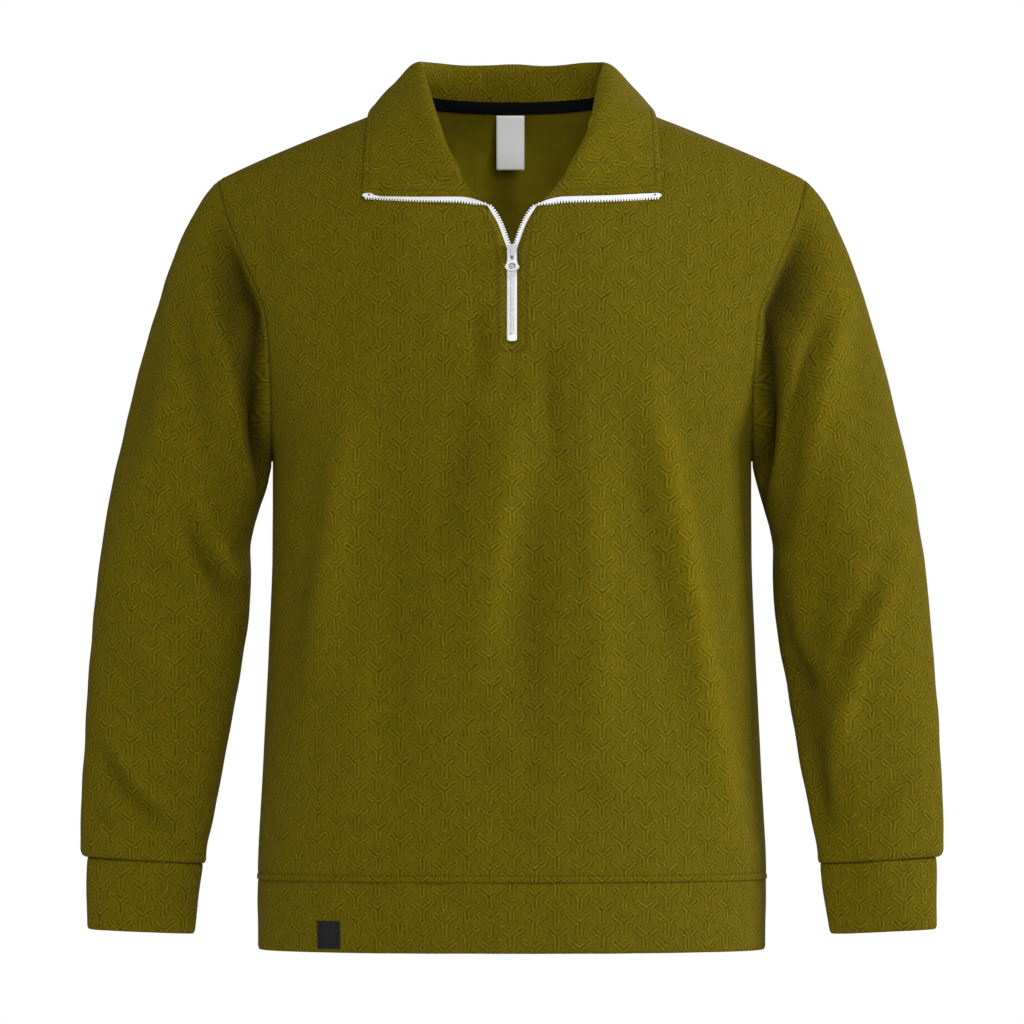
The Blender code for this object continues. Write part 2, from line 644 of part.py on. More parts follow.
def edge_frame(skin, edge, next_column):
    """Places, normals and directions off the panel along one of its edges."""
    points = skin[0][edge]
    normals = skin[2][edge]
    along = unit(np.gradient(points, axis=0))
    away = points - skin[0][next_column]
    away = away - (away * along).sum(axis=1, keepdims=True) * along
    away = away - (away * normals).sum(axis=1, keepdims=True) * normals
    return points, normals, unit(away)


def lift_off_form(grid, lift):
    """Moves points of the fall forward or backward until they clear the torso form."""
    front = np.arange(grid.shape[0])[:, None] <= FRONT_NECK_ROWS
    x, y, z = np.moveaxis(grid, -1, 0)
    weight = ease(SHOULDER_LINE.at("height", np.abs(x)) - z, -0.001, 0.006)
    ahead = np.minimum(y, torso_depth(x, z, -1) - lift)
    behind = np.maximum(y, torso_depth(x, z, 1) + lift)
    grid[..., 1] = y + weight * (np.where(front, ahead, behind) - y)
    return grid


def collar_stations(front, front_grid, back, back_grid):
    """Control points of the collar's profiles for x above zero, from the zip round to the middle back.

    Each profile runs up the stand from the neck seam, over the roll and down the fall to the outer edge.
    Beside the zip there is no stand: the fall starts on the panel, in front of its opened edge.
    """
    front_rows = np.arange(SIDE_ROWS + ARM_ROWS - FRONT_NECK_ROWS, SIDE_ROWS + ARM_ROWS + 1)
    back_rows = np.arange(SIDE_ROWS + ARM_ROWS - 1, SIDE_ROWS + ARM_ROWS - BACK_NECK_ROWS - 1, -1)
    frames = [edge_frame(front, front_grid[front_rows, 0], front_grid[front_rows, 1]),
              edge_frame(back, back_grid[back_rows, 0], back_grid[back_rows, 1])]
    seam, normal, away = (np.concatenate(parts) for parts in zip(*frames))
    away[-1] = unit(away[-1] * np.array([0.0, 1.0, 1.0]))
    along = np.concatenate([np.linspace(0, 1, FRONT_NECK_ROWS + 1), 1 + np.linspace(0, 1, BACK_NECK_ROWS + 1)[1:]])
    roll = np.stack([COLLAR.at(name, along) for name in ("roll_x", "roll_y", "roll_z")], axis=-1)
    edge = np.stack([COLLAR.at(name, along) for name in ("edge_x", "edge_y", "edge_z")], axis=-1)
    half = COLLAR.at("roll_width", along)[:, None] / 2
    tangent = unit(np.gradient(roll, axis=0))
    tangent[-1] = (-1.0, 0.0, 0.0)
    apex = roll - (seam + edge) / 2
    apex = unit(apex - (apex * tangent).sum(axis=1, keepdims=True) * tangent)
    over = np.cross(tangent, apex)
    roll_in = roll - (apex + over) * half
    roll_out = roll - (apex - over) * half
    stand = unit(roll_in - seam)
    inward = unit(away - (away * stand).sum(axis=1, keepdims=True) * stand)
    start = seam + away * GAP + inward * DOUBLE_WALL + stand * GAP
    fall = (roll_out + edge) / 2 + over * 0.002
    controls = np.stack([start, roll_in, roll, roll_out, fall, edge], axis=1)
    flat = seam + normal * (2 * GAP + DOUBLE_WALL)
    for row in range(FLAT_STATIONS):
        shares = np.array(FLAT_SHARES)[:, None]
        controls[row] = flat[row] + (edge[row] - flat[row]) * shares
        inward[row] = normal[row]
    return controls, inward


def collar_half(controls):
    """Grid of points of half of the collar."""
    grid = []
    for profile in controls:
        length = np.concatenate(([0.0], np.cumsum(np.linalg.norm(np.diff(profile, axis=0), axis=1))))
        stops = [np.linspace(a, b, n, endpoint=False) for a, b, n in zip(length[:-1], length[1:], COLLAR_STEPS)]
        stops = np.concatenate(stops + [length[-1:]])
        grid.append(np.stack([smooth(stops, length, profile[:, k]) for k in range(3)], axis=-1))
    grid = np.array(grid)
    rolled = sum(COLLAR_STEPS[:2])
    grid[:, rolled:] = lift_off_form(grid[:, rolled:], COLLAR_LIFT)
    grid[:FLAT_STATIONS, 1:] = lift_off_form(grid[:FLAT_STATIONS, 1:], COLLAR_LIFT)
    return grid


def mirror_halves(half, flip):
    """Points, quads and index of a grid joined to its mirror image along its last row."""
    mirrored = half[-2::-1] * np.array([-1.0, 1.0, 1.0])
    grid = np.concatenate([half, mirrored])
    index = np.arange(grid.shape[0] * grid.shape[1]).reshape(grid.shape[:2])
    return grid.reshape(-1, 3), grid_quads(index, flip), index


def collar_skin(front, front_grid, back, back_grid):
    """The face of the collar that shows: inside of the stand, roll, and top of the fall."""
    controls, start_normal = collar_stations(front, front_grid, back, back_grid)
    points, quads, index = mirror_halves(collar_half(controls), False)
    normals = vertex_normals(points, quads)
    mirrored = start_normal[-2::-1] * np.array([-1.0, 1.0, 1.0])
    normals[index[:, 0]] = np.concatenate([start_normal, mirrored])
    return [points, quads, normals], index


def add_neck_tape(collection, collar, index):
    """A flat tape over the back neck seam, on the inside of the stand."""
    ends = FRONT_NECK_ROWS + 1
    rows = np.arange(ends, index.shape[0] - ends)
    points, _, normals = collar
    foot = points[index[rows, 0]]
    rise = points[index[rows, 1]] - foot
    share = TAPE_HEIGHT / np.linalg.norm(rise, axis=1, keepdims=True)
    face = unit(normals[index[rows, 0]] + normals[index[rows, 1]])
    grid = np.stack([foot + rise * 0.02, foot + rise * share], axis=1)
    grid = grid + face[:, None, :] * (2 * GAP + TAPE_THICKNESS)
    quads = grid_quads(np.arange(grid.shape[0] * 2).reshape(grid.shape[:2]), False)
    skin = [grid.reshape(-1, 3), quads, np.repeat(face, 2, axis=0)]
    add_wall(collection, "neck_tape", skin, TAPE_THICKNESS, BLACK)
    return grid


def add_size_label(collection, tape):
    """A bare woven label that hangs from the tape's lower edge."""
    middle = tape[tape.shape[0] // 2, 0]
    across = np.linspace(-0.5, 0.5, 5) * LABEL_SIZE[0]
    down = np.linspace(0, 1, 5) * LABEL_SIZE[1]
    x, d = np.meshgrid(across, down)
    bow = 0.0012 * (1 - (2 * x / LABEL_SIZE[0]) ** 2) * (d / LABEL_SIZE[1])
    grid = np.stack([x + LABEL_MIDDLE, middle[1] + 0.06 * d - bow, middle[2] - 2 * GAP - d], axis=-1)
    quads = grid_quads(np.arange(25).reshape(5, 5), True)
    thing = add_object(collection, "size_label", grid.reshape(-1, 3), quads.tolist(), WHITE)
    add_solidify(thing, 0.001, offset=1.0)


# ---------------------------------------------------------------- zip and patch

def add_strip(collection, name, base, across, normal, widths, thickness, colour, flip):
    """A strip from the base points across by the widths, half its thickness on either side of them."""
    near = base + normal * thickness / 2
    grid = np.stack([near, near + across * widths[:, None]], axis=1)
    quads = grid_quads(np.arange(len(base) * 2).reshape(-1, 2), flip)
    skin = [grid.reshape(-1, 3), quads, np.repeat(normal, 2, axis=0)]
    add_wall(collection, name, skin, thickness, colour)


def zip_side_path(front, front_grid, collar, index):
    """Base points, directions across and widths of one opened side of the zip, x above zero.

    It runs up the edge of the slit, turns over with the cloth at the roll, and follows the collar's end.
    """
    corner = SIDE_ROWS + ARM_ROWS - FRONT_NECK_ROWS
    rows = np.arange(corner - 3, corner + 1)
    edge, normal, away = edge_frame(front, front_grid[rows, 0], front_grid[rows, 1])
    slit_base = edge + away * 1.5 * GAP - normal * WALL / 2
    low = (SLIDER_HEIGHTS[1] + 2 * GAP - slit_base[0, 2]) / (slit_base[1, 2] - slit_base[0, 2])
    slit_base[0] = slit_base[0] + (slit_base[1] - slit_base[0]) * low
    columns = index[0, LEAF_START:]
    leaf_away = edge_frame(collar, columns, index[1, LEAF_START:])[2]
    leaf_base = collar[0][columns] - collar[2][columns] * DOUBLE_WALL / 2 + leaf_away * 1.5 * GAP
    base = np.concatenate([slit_base[:-1], edge[-1:] + np.array([ZIP_CORNER]), leaf_base])
    across = np.concatenate([away[:-1], np.array([[0.0, -1.0, 0.0]]), leaf_away])
    widths = np.concatenate([np.full(len(rows) - 1, SLIT_TAPE_WIDTH), [SLIT_TAPE_WIDTH],
                             np.full(len(columns), LEAF_TAPE_WIDTH)])
    return base, unit(across), widths


def add_zip_side(collection, name, path, mirror):
    """One opened side of the zip: cloth tape and teeth in one flat strip."""
    base, across, widths = path
    count = len(base)
    spot = np.linspace(0, count - 1, 3 * count - 2)
    base = np.stack([np.interp(spot, np.arange(count), base[:, k]) for k in range(3)], axis=-1)
    across = unit(np.stack([np.interp(spot, np.arange(count), across[:, k]) for k in range(3)], axis=-1))
    widths = np.interp(spot, np.arange(count), widths)
    tangent = unit(np.gradient(base, axis=0))
    normal = unit(np.cross(across, tangent))
    across = unit(np.cross(tangent, normal))
    if mirror:
        flip = np.array([-1.0, 1.0, 1.0])
        base, across, normal = base * flip, across * flip, normal * flip
    add_strip(collection, name, base, across, normal, widths, TAPE_THICKNESS, WHITE, mirror)


def on_middle(height, out=0.0):
    """A point of the front's middle line, moved out from the cloth."""
    step = 0.001
    y = torso_depth(0.0, np.array([height - step, height, height + step]), -1)
    tilt = math.atan2(y[2] - y[0], 2 * step)
    return np.array([0.0, y[1] - out * math.cos(tilt), height + out * math.sin(tilt)]), tilt


def add_middle_strip(collection, name, heights, width, inner, outer, count):
    """A flat bar down the middle line of the front, between two distances from the cloth."""
    heights = np.linspace(*heights, count)
    half = (inner + outer) / 2
    base = np.array([on_middle(height, half)[0] for height in heights]) - np.array([width / 2, 0.0, 0.0])
    tangent = unit(np.gradient(base, axis=0))
    across = np.tile([1.0, 0.0, 0.0], (count, 1))
    normal = unit(np.cross(across, tangent))
    add_strip(collection, name, base, across, normal, np.full(count, width), outer - inner, WHITE, False)


def outline_plate(name, outline, holes, thickness):
    """A flat plate from closed outlines in the local XZ plane, made from a filled curve."""
    curve = bpy.data.curves.new(name, "CURVE")
    curve.dimensions = "2D"
    curve.fill_mode = "BOTH"
    curve.extrude = thickness / 2
    for ring_points in [outline] + holes:
        spline = curve.splines.new("POLY")
        spline.points.add(len(ring_points) - 1)
        spline.use_cyclic_u = True
        for point, (x, y) in zip(spline.points, ring_points):
            point.co = (x, y, 0.0, 1.0)
    thing = bpy.data.objects.new(name, curve)
    bpy.context.scene.collection.objects.link(thing)
    depsgraph = bpy.context.evaluated_depsgraph_get()
    mesh = bpy.data.meshes.new_from_object(thing.evaluated_get(depsgraph))
    bpy.data.objects.remove(thing, do_unlink=True)
    shape = bmesh.new()
    shape.from_mesh(mesh)
    bmesh.ops.remove_doubles(shape, verts=shape.verts, dist=1e-6)
    for vertex in shape.verts:
        x, y, z = vertex.co
        vertex.co = (x, z, y)
    bmesh.ops.recalc_face_normals(shape, faces=shape.faces)
    shape.to_mesh(mesh)
    shape.free()
    return mesh


def mesh_object(collection, name, mesh, colour, roughness, metallic, place, tilt):
    """An object at a place, turned about X by the cloth's tilt."""
    thing = bpy.data.objects.new(name, mesh)
    collection.objects.link(thing)
    add_material(thing, name, colour, roughness, metallic)
    thing.location = place.tolist()
    thing.rotation_euler = (tilt, 0.0, 0.0)
    return thing


def add_block(shape, low, high):
    """A box between two corners, put into a bmesh."""
    low, high = np.array(low), np.array(high)
    box = bmesh.ops.create_cube(shape, size=1.0)["verts"]
    for vertex in box:
        vertex.co = (low + (np.array(vertex.co) + 0.5) * (high - low)).tolist()


def add_slider(collection, cutters):
    """Slider body with its bail, one solid."""
    middle = sum(SLIDER_HEIGHTS) / 2
    place, tilt = on_middle(middle)
    half_length = (SLIDER_HEIGHTS[1] - SLIDER_HEIGHTS[0]) / 2
    body = bmesh.new()
    add_block(body, (-SLIDER_WIDTH / 2, -SLIDER_FACE, -half_length), (SLIDER_WIDTH / 2, 0.0010, half_length))
    mesh = bpy.data.meshes.new("zip_slider")
    body.to_mesh(mesh)
    body.free()
    slider = mesh_object(collection, "zip_slider", mesh, SILVER, 0.3, 0.9, place, -tilt)
    low, high = (height - middle for height in BAIL_HEIGHTS)
    bail = outline_plate("bail", bail_outline(low, high), [], BAIL_WIDTH)
    for vertex in bail.vertices:
        x, y, z = vertex.co
        vertex.co = (y, -x, z)
    thing = mesh_object(cutters, "bail", bail, SILVER, 0.3, 0.9, place, -tilt)
    thing.hide_render = True
    thing.display_type = "WIRE"
    join = slider.modifiers.new("bail", "BOOLEAN")
    join.operation = "UNION"
    join.object = thing


def bail_outline(low, high):
    """Side view of the bail: distance in front of the cloth, height."""
    face = SLIDER_FACE - 0.0004
    inner = SLIDER_FACE + BAIL_REACH
    outer = inner + BAIL_WIRE
    return [(face, low), (outer - 0.0007, low), (outer, low + 0.0007), (outer, high - 0.0007),
            (outer - 0.0007, high), (face, high), (face, high - BAIL_WIRE), (inner, high - BAIL_WIRE),
            (inner, low + BAIL_WIRE), (face, low + BAIL_WIRE)]


def add_pull(collection):
    """The pull tab, its origin on the pivot; it hangs down and leans in to the chain."""
    down = np.concatenate([PULL_OUTLINE.column("down")[:-1],
                           PULL_OUTLINE.column("down")[-2] + np.array([0.6, 1.0]) * 0.0014])
    width = np.interp(down, PULL_OUTLINE.column("down"), PULL_OUTLINE.column("half_width"))
    outline = [(w, -d) for w, d in zip(width, down)] + [(-w, -d) for w, d in zip(width[::-1], down[::-1])]
    half, top, foot = PULL_WINDOW
    window = [(-half, -top), (half, -top), (half, -foot), (-half, -foot)]
    turns = np.linspace(0, 2 * math.pi, 20, endpoint=False)
    eye = [(PULL_RING[1] * math.cos(t), -PULL_RING[0] + PULL_RING[1] * math.sin(t)) for t in turns]
    mesh = outline_plate("zip_pull", outline, [window, eye], PULL_THICKNESS)
    place, tilt = on_middle(PIVOT_HEIGHT, SLIDER_FACE + BAIL_REACH / 2)
    mesh_object(collection, "zip_pull", mesh, SILVER, 0.3, 0.9, place, -tilt - PULL_LEAN)


def add_hem_patch(collection):
    """A small stitched-on patch, bare, on the front of the hem band."""
    x, z = np.meshgrid(PATCH_MIDDLE[0] + np.linspace(-0.5, 0.5, 5) * PATCH_SIZE[0],
                       PATCH_MIDDLE[1] + np.linspace(-0.5, 0.5, 4) * PATCH_SIZE[1])
    grid = on_form(x, z, -1) + np.array([0.0, GAP, 0.0])
    quads = grid_quads(np.arange(20).reshape(4, 5), False)
    thing = add_object(collection, "hem_patch", grid.reshape(-1, 3), quads.tolist(), CHARCOAL)
    add_solidify(thing, 0.001, offset=1.0)


# ---------------------------------------------------------------- the garment

def build():
    """All pieces of the pullover."""
    for thing in list(bpy.data.objects):
        bpy.data.objects.remove(thing, do_unlink=True)
    collection = bpy.data.collections.new("quarter_zip_pullover")
    cutters = bpy.data.collections.new("cutters")
    for group in (collection, cutters):
        bpy.context.scene.collection.children.link(group)

    front, front_a, front_b = panel_skin(-1)
    back, back_a, back_b = panel_skin(1)
    sleeve_left, ring_left = sleeve_skin(mirror=False)
    sleeve_right, ring_right = sleeve_skin(mirror=True)

    for front_grid, back_grid, sleeve, rings in ((front_a, back_a, sleeve_left, ring_left),
                                                 (front_b, back_b, sleeve_right, ring_right)):
        share_normals(front, front_grid[-1], back, back_grid[-1])
        share_normals(front, front_grid[:SIDE_ROWS, -1], back, back_grid[:SIDE_ROWS, -1])
        front_arm = front_grid[SIDE_ROWS:, -1][::-1]
        back_arm = back_grid[SIDE_ROWS:, -1]
        share_normals(front, front_arm, sleeve, rings[0, :ARM_ROWS + 1])
        share_normals(back, back_arm[1:-1], sleeve, rings[0, ARM_ROWS + 1:])
        for end, sleeve_point in ((0, ARM_ROWS), (-1, 0)):
            back[2][back_arm[end]] = sleeve[2][rings[0, sleeve_point]]
        part_seam(front, front_grid[-1], front_grid[-2], GAP / 2)
        part_seam(back, back_grid[-1], back_grid[-2], GAP / 2)
        part_seam(front, front_grid[:SIDE_ROWS + 1, -1], front_grid[:SIDE_ROWS + 1, -2], GAP)
        part_seam(back, back_grid[:SIDE_ROWS + 1, -1], back_grid[:SIDE_ROWS + 1, -2], GAP)
        part_seam(sleeve, rings[0], rings[1], GAP)
        flatten_end_normals(sleeve, rings[-1], rings[-3])
    for skin, grids in ((front, (front_a, front_b)), (back, (back_a, back_b))):
        for grid in grids:
            flat = skin[2][grid[0]] * np.array([1.0, 1.0, 0.0])
            skin[2][grid[0]] = unit(flat)

    add_wall(collection, "front", front, WALL, OLIVE)
    add_wall(collection, "back", back, WALL, OLIVE)
    add_wall(collection, "sleeve_left", sleeve_left, WALL, OLIVE)
    add_wall(collection, "sleeve_right", sleeve_right, WALL, OLIVE)
    add_cuff(collection, "cuff_left", mirror=False)
    add_cuff(collection, "cuff_right", mirror=True)
    add_hem_band(collection)

    collar, collar_index = collar_skin(front, front_a, back, back_a)
    add_wall(collection, "collar", collar, DOUBLE_WALL, OLIVE)
    tape = add_neck_tape(collection, collar, collar_index)
    add_size_label(collection, tape)

    path = zip_side_path(front, front_a, collar, collar_index)
    add_zip_side(collection, "zip_tape_left", path, mirror=False)
    add_zip_side(collection, "zip_tape_right", path, mirror=True)
    chain_heights = (STOP_HEIGHTS[1] + GAP, SLIDER_HEIGHTS[0] - GAP)
    add_middle_strip(collection, "zip_chain", chain_heights, ZIP_WIDTH, -ZIP_THICKNESS + 0.0006, 0.0006, 7)
    add_middle_strip(collection, "zip_stop", STOP_HEIGHTS, ZIP_WIDTH, -0.0012, 0.0012, 3)
    add_slider(collection, cutters)
    add_pull(collection)
    add_hem_patch(collection)


build()
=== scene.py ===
"""Looks of an olive quarter-zip pullover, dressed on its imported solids.

Metres, +Z up, the front faces -Y and the wearer's left is +X. Each cloth piece is a thin shell on the form of
its solid, on a finer grid, with its creases as soft troughs and ridges. Its UV map is in metres of cloth.
"""

import logging
import math
from dataclasses import dataclass
from enum import Enum
from typing import Callable, Optional, Sequence

import bpy
import numpy as np
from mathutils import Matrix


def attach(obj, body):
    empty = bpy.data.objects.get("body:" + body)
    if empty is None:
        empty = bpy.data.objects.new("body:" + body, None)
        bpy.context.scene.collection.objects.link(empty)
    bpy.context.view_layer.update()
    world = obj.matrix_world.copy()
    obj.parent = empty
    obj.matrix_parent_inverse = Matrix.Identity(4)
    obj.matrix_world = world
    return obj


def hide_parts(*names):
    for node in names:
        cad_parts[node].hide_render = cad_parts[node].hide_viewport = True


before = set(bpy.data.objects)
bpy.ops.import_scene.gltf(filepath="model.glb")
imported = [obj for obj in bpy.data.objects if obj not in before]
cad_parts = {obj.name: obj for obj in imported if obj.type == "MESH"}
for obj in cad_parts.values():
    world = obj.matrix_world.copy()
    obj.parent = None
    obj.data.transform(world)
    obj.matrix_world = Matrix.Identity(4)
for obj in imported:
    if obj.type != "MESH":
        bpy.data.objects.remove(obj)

Array = np.ndarray
Material = bpy.types.Material
Socket = bpy.types.NodeSocket
Tree = bpy.types.NodeTree
LOG = logging.getLogger("pullover")

WALL = 0.0016
DOUBLE_WALL = 0.0026
GAP = 0.0003
# How deep a seam draws the cloth in, and over what width.
SEAM_DIP = 0.001
SEAM_REACH = 0.003
# Crease height that counts as one for the painted crease shade: troughs are painted darker, ridges lighter.
FOLD_UNIT = 0.008
MIRROR = np.array([-1.0, 1.0, 1.0])


class Side(Enum):
    """Which half of the torso form a point lies on."""

    FRONT = -1
    BACK = 1


class Hand(Enum):
    """The wearer's left is x above zero."""

    LEFT = 1
    RIGHT = -1


# ---------------------------------------------------------------- curves

def smooth(key: Array, keys: Array, values: Array) -> Array:
    """Piecewise cubic through (keys, values) that never overshoots.

    Each inner slope is the harmonic mean of its two neighbours' slopes, or zero where they differ in sign.

    Args:
        key: where to read the curve.
        keys: rising sample places.
        values: sample values.

    Returns:
        The curve's values at key.
    """
    step = np.diff(keys)
    slope = np.diff(values) / step
    same_way = slope[:-1] * slope[1:] > 0
    mean = 2 * slope[:-1] * slope[1:] / np.where(same_way, slope[:-1] + slope[1:], 1.0)
    tangent = np.concatenate(([slope[0]], np.where(same_way, mean, 0.0), [slope[-1]]))
    key = np.clip(key, keys[0], keys[-1])
    row = np.clip(np.searchsorted(keys, key) - 1, 0, len(step) - 1)
    t = (key - keys[row]) / step[row]
    return (values[row] * (1 + 2 * t) * (1 - t) ** 2 + values[row + 1] * t ** 2 * (3 - 2 * t)
            + step[row] * (tangent[row] * t * (1 - t) ** 2 - tangent[row + 1] * t ** 2 * (1 - t)))


def ease(value: Array, start: float, end: float) -> Array:
    """Smooth step, 3t^2 - 2t^3, from 0 at start to 1 at end."""
    t = np.clip((value - start) / (end - start), 0.0, 1.0)
    return t * t * (3 - 2 * t)


def bell(value: Array, width: float) -> Array:
    """exp(-(value/width)^2)."""
    return np.exp(-(value / width) ** 2)


def unit(vectors: Array) -> Array:
    """Vectors of length one."""
    return vectors / np.maximum(np.linalg.norm(vectors, axis=-1, keepdims=True), 1e-12)


def square_to(vectors: Array, along: Array) -> Array:
    """The part of the vectors that is square to unit directions."""
    return vectors - (vectors * along).sum(axis=1, keepdims=True) * along


def running_length(points: Array, axis: int = 0) -> Array:
    """Length run along the points of a path or, on a grid, along one of its axes."""
    step = np.linalg.norm(np.diff(points, axis=axis), axis=-1)
    start = np.zeros_like(np.take(step, [0], axis=axis))
    return np.concatenate([start, np.cumsum(step, axis=axis)], axis=axis)


def pack(*parts: Array) -> Array:
    """Arrays joined along a new last axis."""
    return np.stack(parts, axis=-1)


def read_path(stops: Array, length: Array, path: Array, read: Callable = np.interp) -> Array:
    """Points of a path at the stops, on straight lines or as the reader given has them."""
    return pack(*(read(stops, length, path[:, k]) for k in range(3)))


def even_points(path: Array, count: int) -> Array:
    """The same path with count + 1 points at even lengths."""
    length = running_length(path)
    return read_path(np.linspace(0, length[-1], count + 1), length, path)


def whole_turn(count: int) -> Array:
    """Even angles round a circle from zero."""
    return np.linspace(0, 2 * math.pi, count, endpoint=False)


def cosine_steps(start: float, end: float, count: int = 600) -> Array:
    """Steps that crowd towards both ends: start + (end - start)(1 - cos t)/2."""
    return start + (end - start) * (1 - np.cos(np.linspace(0, math.pi, count))) / 2


class Table:
    """Rows of named columns, read smoothly along the first column."""

    def __init__(self, names: str, rows: Sequence[Sequence[float]]) -> None:
        """Keeps the rows.

        Args:
            names: column names, with spaces between.
            rows: one row of numbers for each key.
        """
        self.names = names.split()
        self.rows = np.array(rows, dtype=float)

    def at(self, name: str, key: Array) -> Array:
        """Values of a column at the keys."""
        return smooth(np.asarray(key, dtype=float), self.rows[:, 0], self.rows[:, self.names.index(name)])


# ---------------------------------------------------------------- forms shared with the solids

@dataclass(frozen=True)
class TorsoForm:
    """The filled-out body: level superellipses, times the rise away from the shoulder line."""

    seam: float = -0.6495
    hem: float = -0.7080
    armpit: float = -0.3010
    power: float = 2.5
    root: float = 2.0
    sizes: Table = Table("height half_width front_depth back_depth middle", [
        (-0.708, 0.2128, 0.1040, 0.1030, 0.000), (-0.650, 0.2128, 0.1075, 0.1040, 0.000),
        (-0.560, 0.2086, 0.1120, 0.1030, 0.000), (-0.458, 0.2036, 0.1190, 0.1040, 0.000),
        (-0.374, 0.2004, 0.1250, 0.1080, 0.000), (-0.301, 0.2001, 0.1275, 0.1150, 0.000),
        (-0.255, 0.2115, 0.1270, 0.1185, 0.000), (-0.215, 0.2225, 0.1250, 0.1200, 0.000),
        (-0.178, 0.2335, 0.1215, 0.1195, 0.001), (-0.120, 0.2510, 0.1140, 0.1150, 0.003),
        (-0.065, 0.2620, 0.1060, 0.1080, 0.006), (0.000, 0.2640, 0.1030, 0.1010, 0.011),
        (0.040, 0.2640, 0.1000, 0.0980, 0.012)])
    shoulder: Table = Table("across height", [
        (0.000, 0.0080), (0.060, 0.0080), (0.088, 0.0050), (0.105, -0.0035), (0.1175, -0.0105), (0.1392, -0.0192),
        (0.1768, -0.0343), (0.2103, -0.0485), (0.2460, -0.0652), (0.2700, -0.0770)])
    armhole: Table = Table("height front back", [
        (-0.3010, 0.2001, 0.2001), (-0.2850, 0.2003, 0.2003), (-0.2550, 0.2005, 0.2010), (-0.2150, 0.2022, 0.2045),
        (-0.1780, 0.2060, 0.2100), (-0.1430, 0.2195, 0.2225), (-0.1180, 0.2300, 0.2320), (-0.0900, 0.2400, 0.2405),
        (-0.0652, 0.2460, 0.2460)])
    front_edge: Table = Table("height across", [
        (-0.2030, 0.0045), (-0.1280, 0.0046), (-0.1146, 0.0083), (-0.1030, 0.0128), (-0.0946, 0.0178),
        (-0.0861, 0.0252), (-0.0784, 0.0335), (-0.0709, 0.0400), (-0.0650, 0.0460), (-0.0600, 0.0532),
        (-0.0540, 0.0612), (-0.0450, 0.0695), (-0.0320, 0.0765), (-0.0170, 0.0827), (-0.0050, 0.0865),
        (0.0050, 0.0880)])
    back_neck: Table = Table("across height", [
        (0.000, -0.0073), (0.020, -0.0070), (0.040, -0.0060), (0.060, -0.0040), (0.076, -0.0010), (0.084, 0.0022),
        (0.088, 0.0050)])
    slit_foot: float = -0.2040
    slit_heights: tuple[float, ...] = (-0.2026, -0.1600, -0.1250, -0.1080, -0.0960, -0.0861)

    def depth(self, across: Array, height: Array, side: Side) -> Array:
        """Y of the form.

        Formula: middle + side * depth * (1 - |x/half_width|^2.5)^(1/2) * (1 - (1 - d)^power)^(1/root), where d is
        the drop below the shoulder line over the reach, cut to 0..1.

        Args:
            across: x.
            height: z.
            side: front or back.

        Returns:
            y of each point.
        """
        reach_down, power, root = (0.215, 2.0, 2.0) if side is Side.FRONT else (0.280, 1.7, 3.5)
        reach = np.abs(across) / self.sizes.at("half_width", height)
        section = (1 - np.clip(reach, 0, 1) ** self.power) ** (1 / self.root)
        drop = self.shoulder.at("height", np.abs(across)) - height
        leave = (1 - (1 - np.clip(drop / reach_down, 0, 1)) ** power) ** (1 / root)
        column = "front_depth" if side is Side.FRONT else "back_depth"
        return self.sizes.at("middle", height) + side.value * self.sizes.at(column, height) * section * leave

    def on_form(self, across: Array, height: Array, side: Side) -> Array:
        """Points of the form."""
        return pack(across, self.depth(across, height, side), height)

    def armhole_path(self, side: Side, count: int) -> Array:
        """Armhole seam of one half, armpit to shoulder tip, at even lengths."""
        height = cosine_steps(self.armpit, -0.0652)
        across = self.armhole.at("front" if side is Side.FRONT else "back", height)
        return even_points(self.on_form(across, height, side), count)

    def cloth_map(self, points: Array, side: Side) -> Array:
        """Flat cloth coordinates of points on the form.

        u is the length of the level section from the middle to the point, v the length of the upright section
        from the armpit's height to the point; both are sums of 24 chords.

        Args:
            points: grid of points on the form.
            side: front or back.

        Returns:
            (u, v) in metres for each point.
        """
        x, z = points[..., 0], points[..., 2]
        t = np.linspace(0, 1, 25).reshape(-1, *([1] * x.ndim))
        half_width = self.sizes.at("half_width", z)
        turn = np.arcsin(np.clip(x / half_width, -1, 1))
        level = self.on_form(half_width * np.sin(turn * t), z + 0 * t, side)
        upright = self.on_form(x + 0 * t, self.armpit + (z - self.armpit) * t, side)
        u = np.sign(x) * running_length(level)[-1]
        v = np.sign(z - self.armpit) * running_length(upright)[-1]
        return pack(u, v)


FORM = TorsoForm()


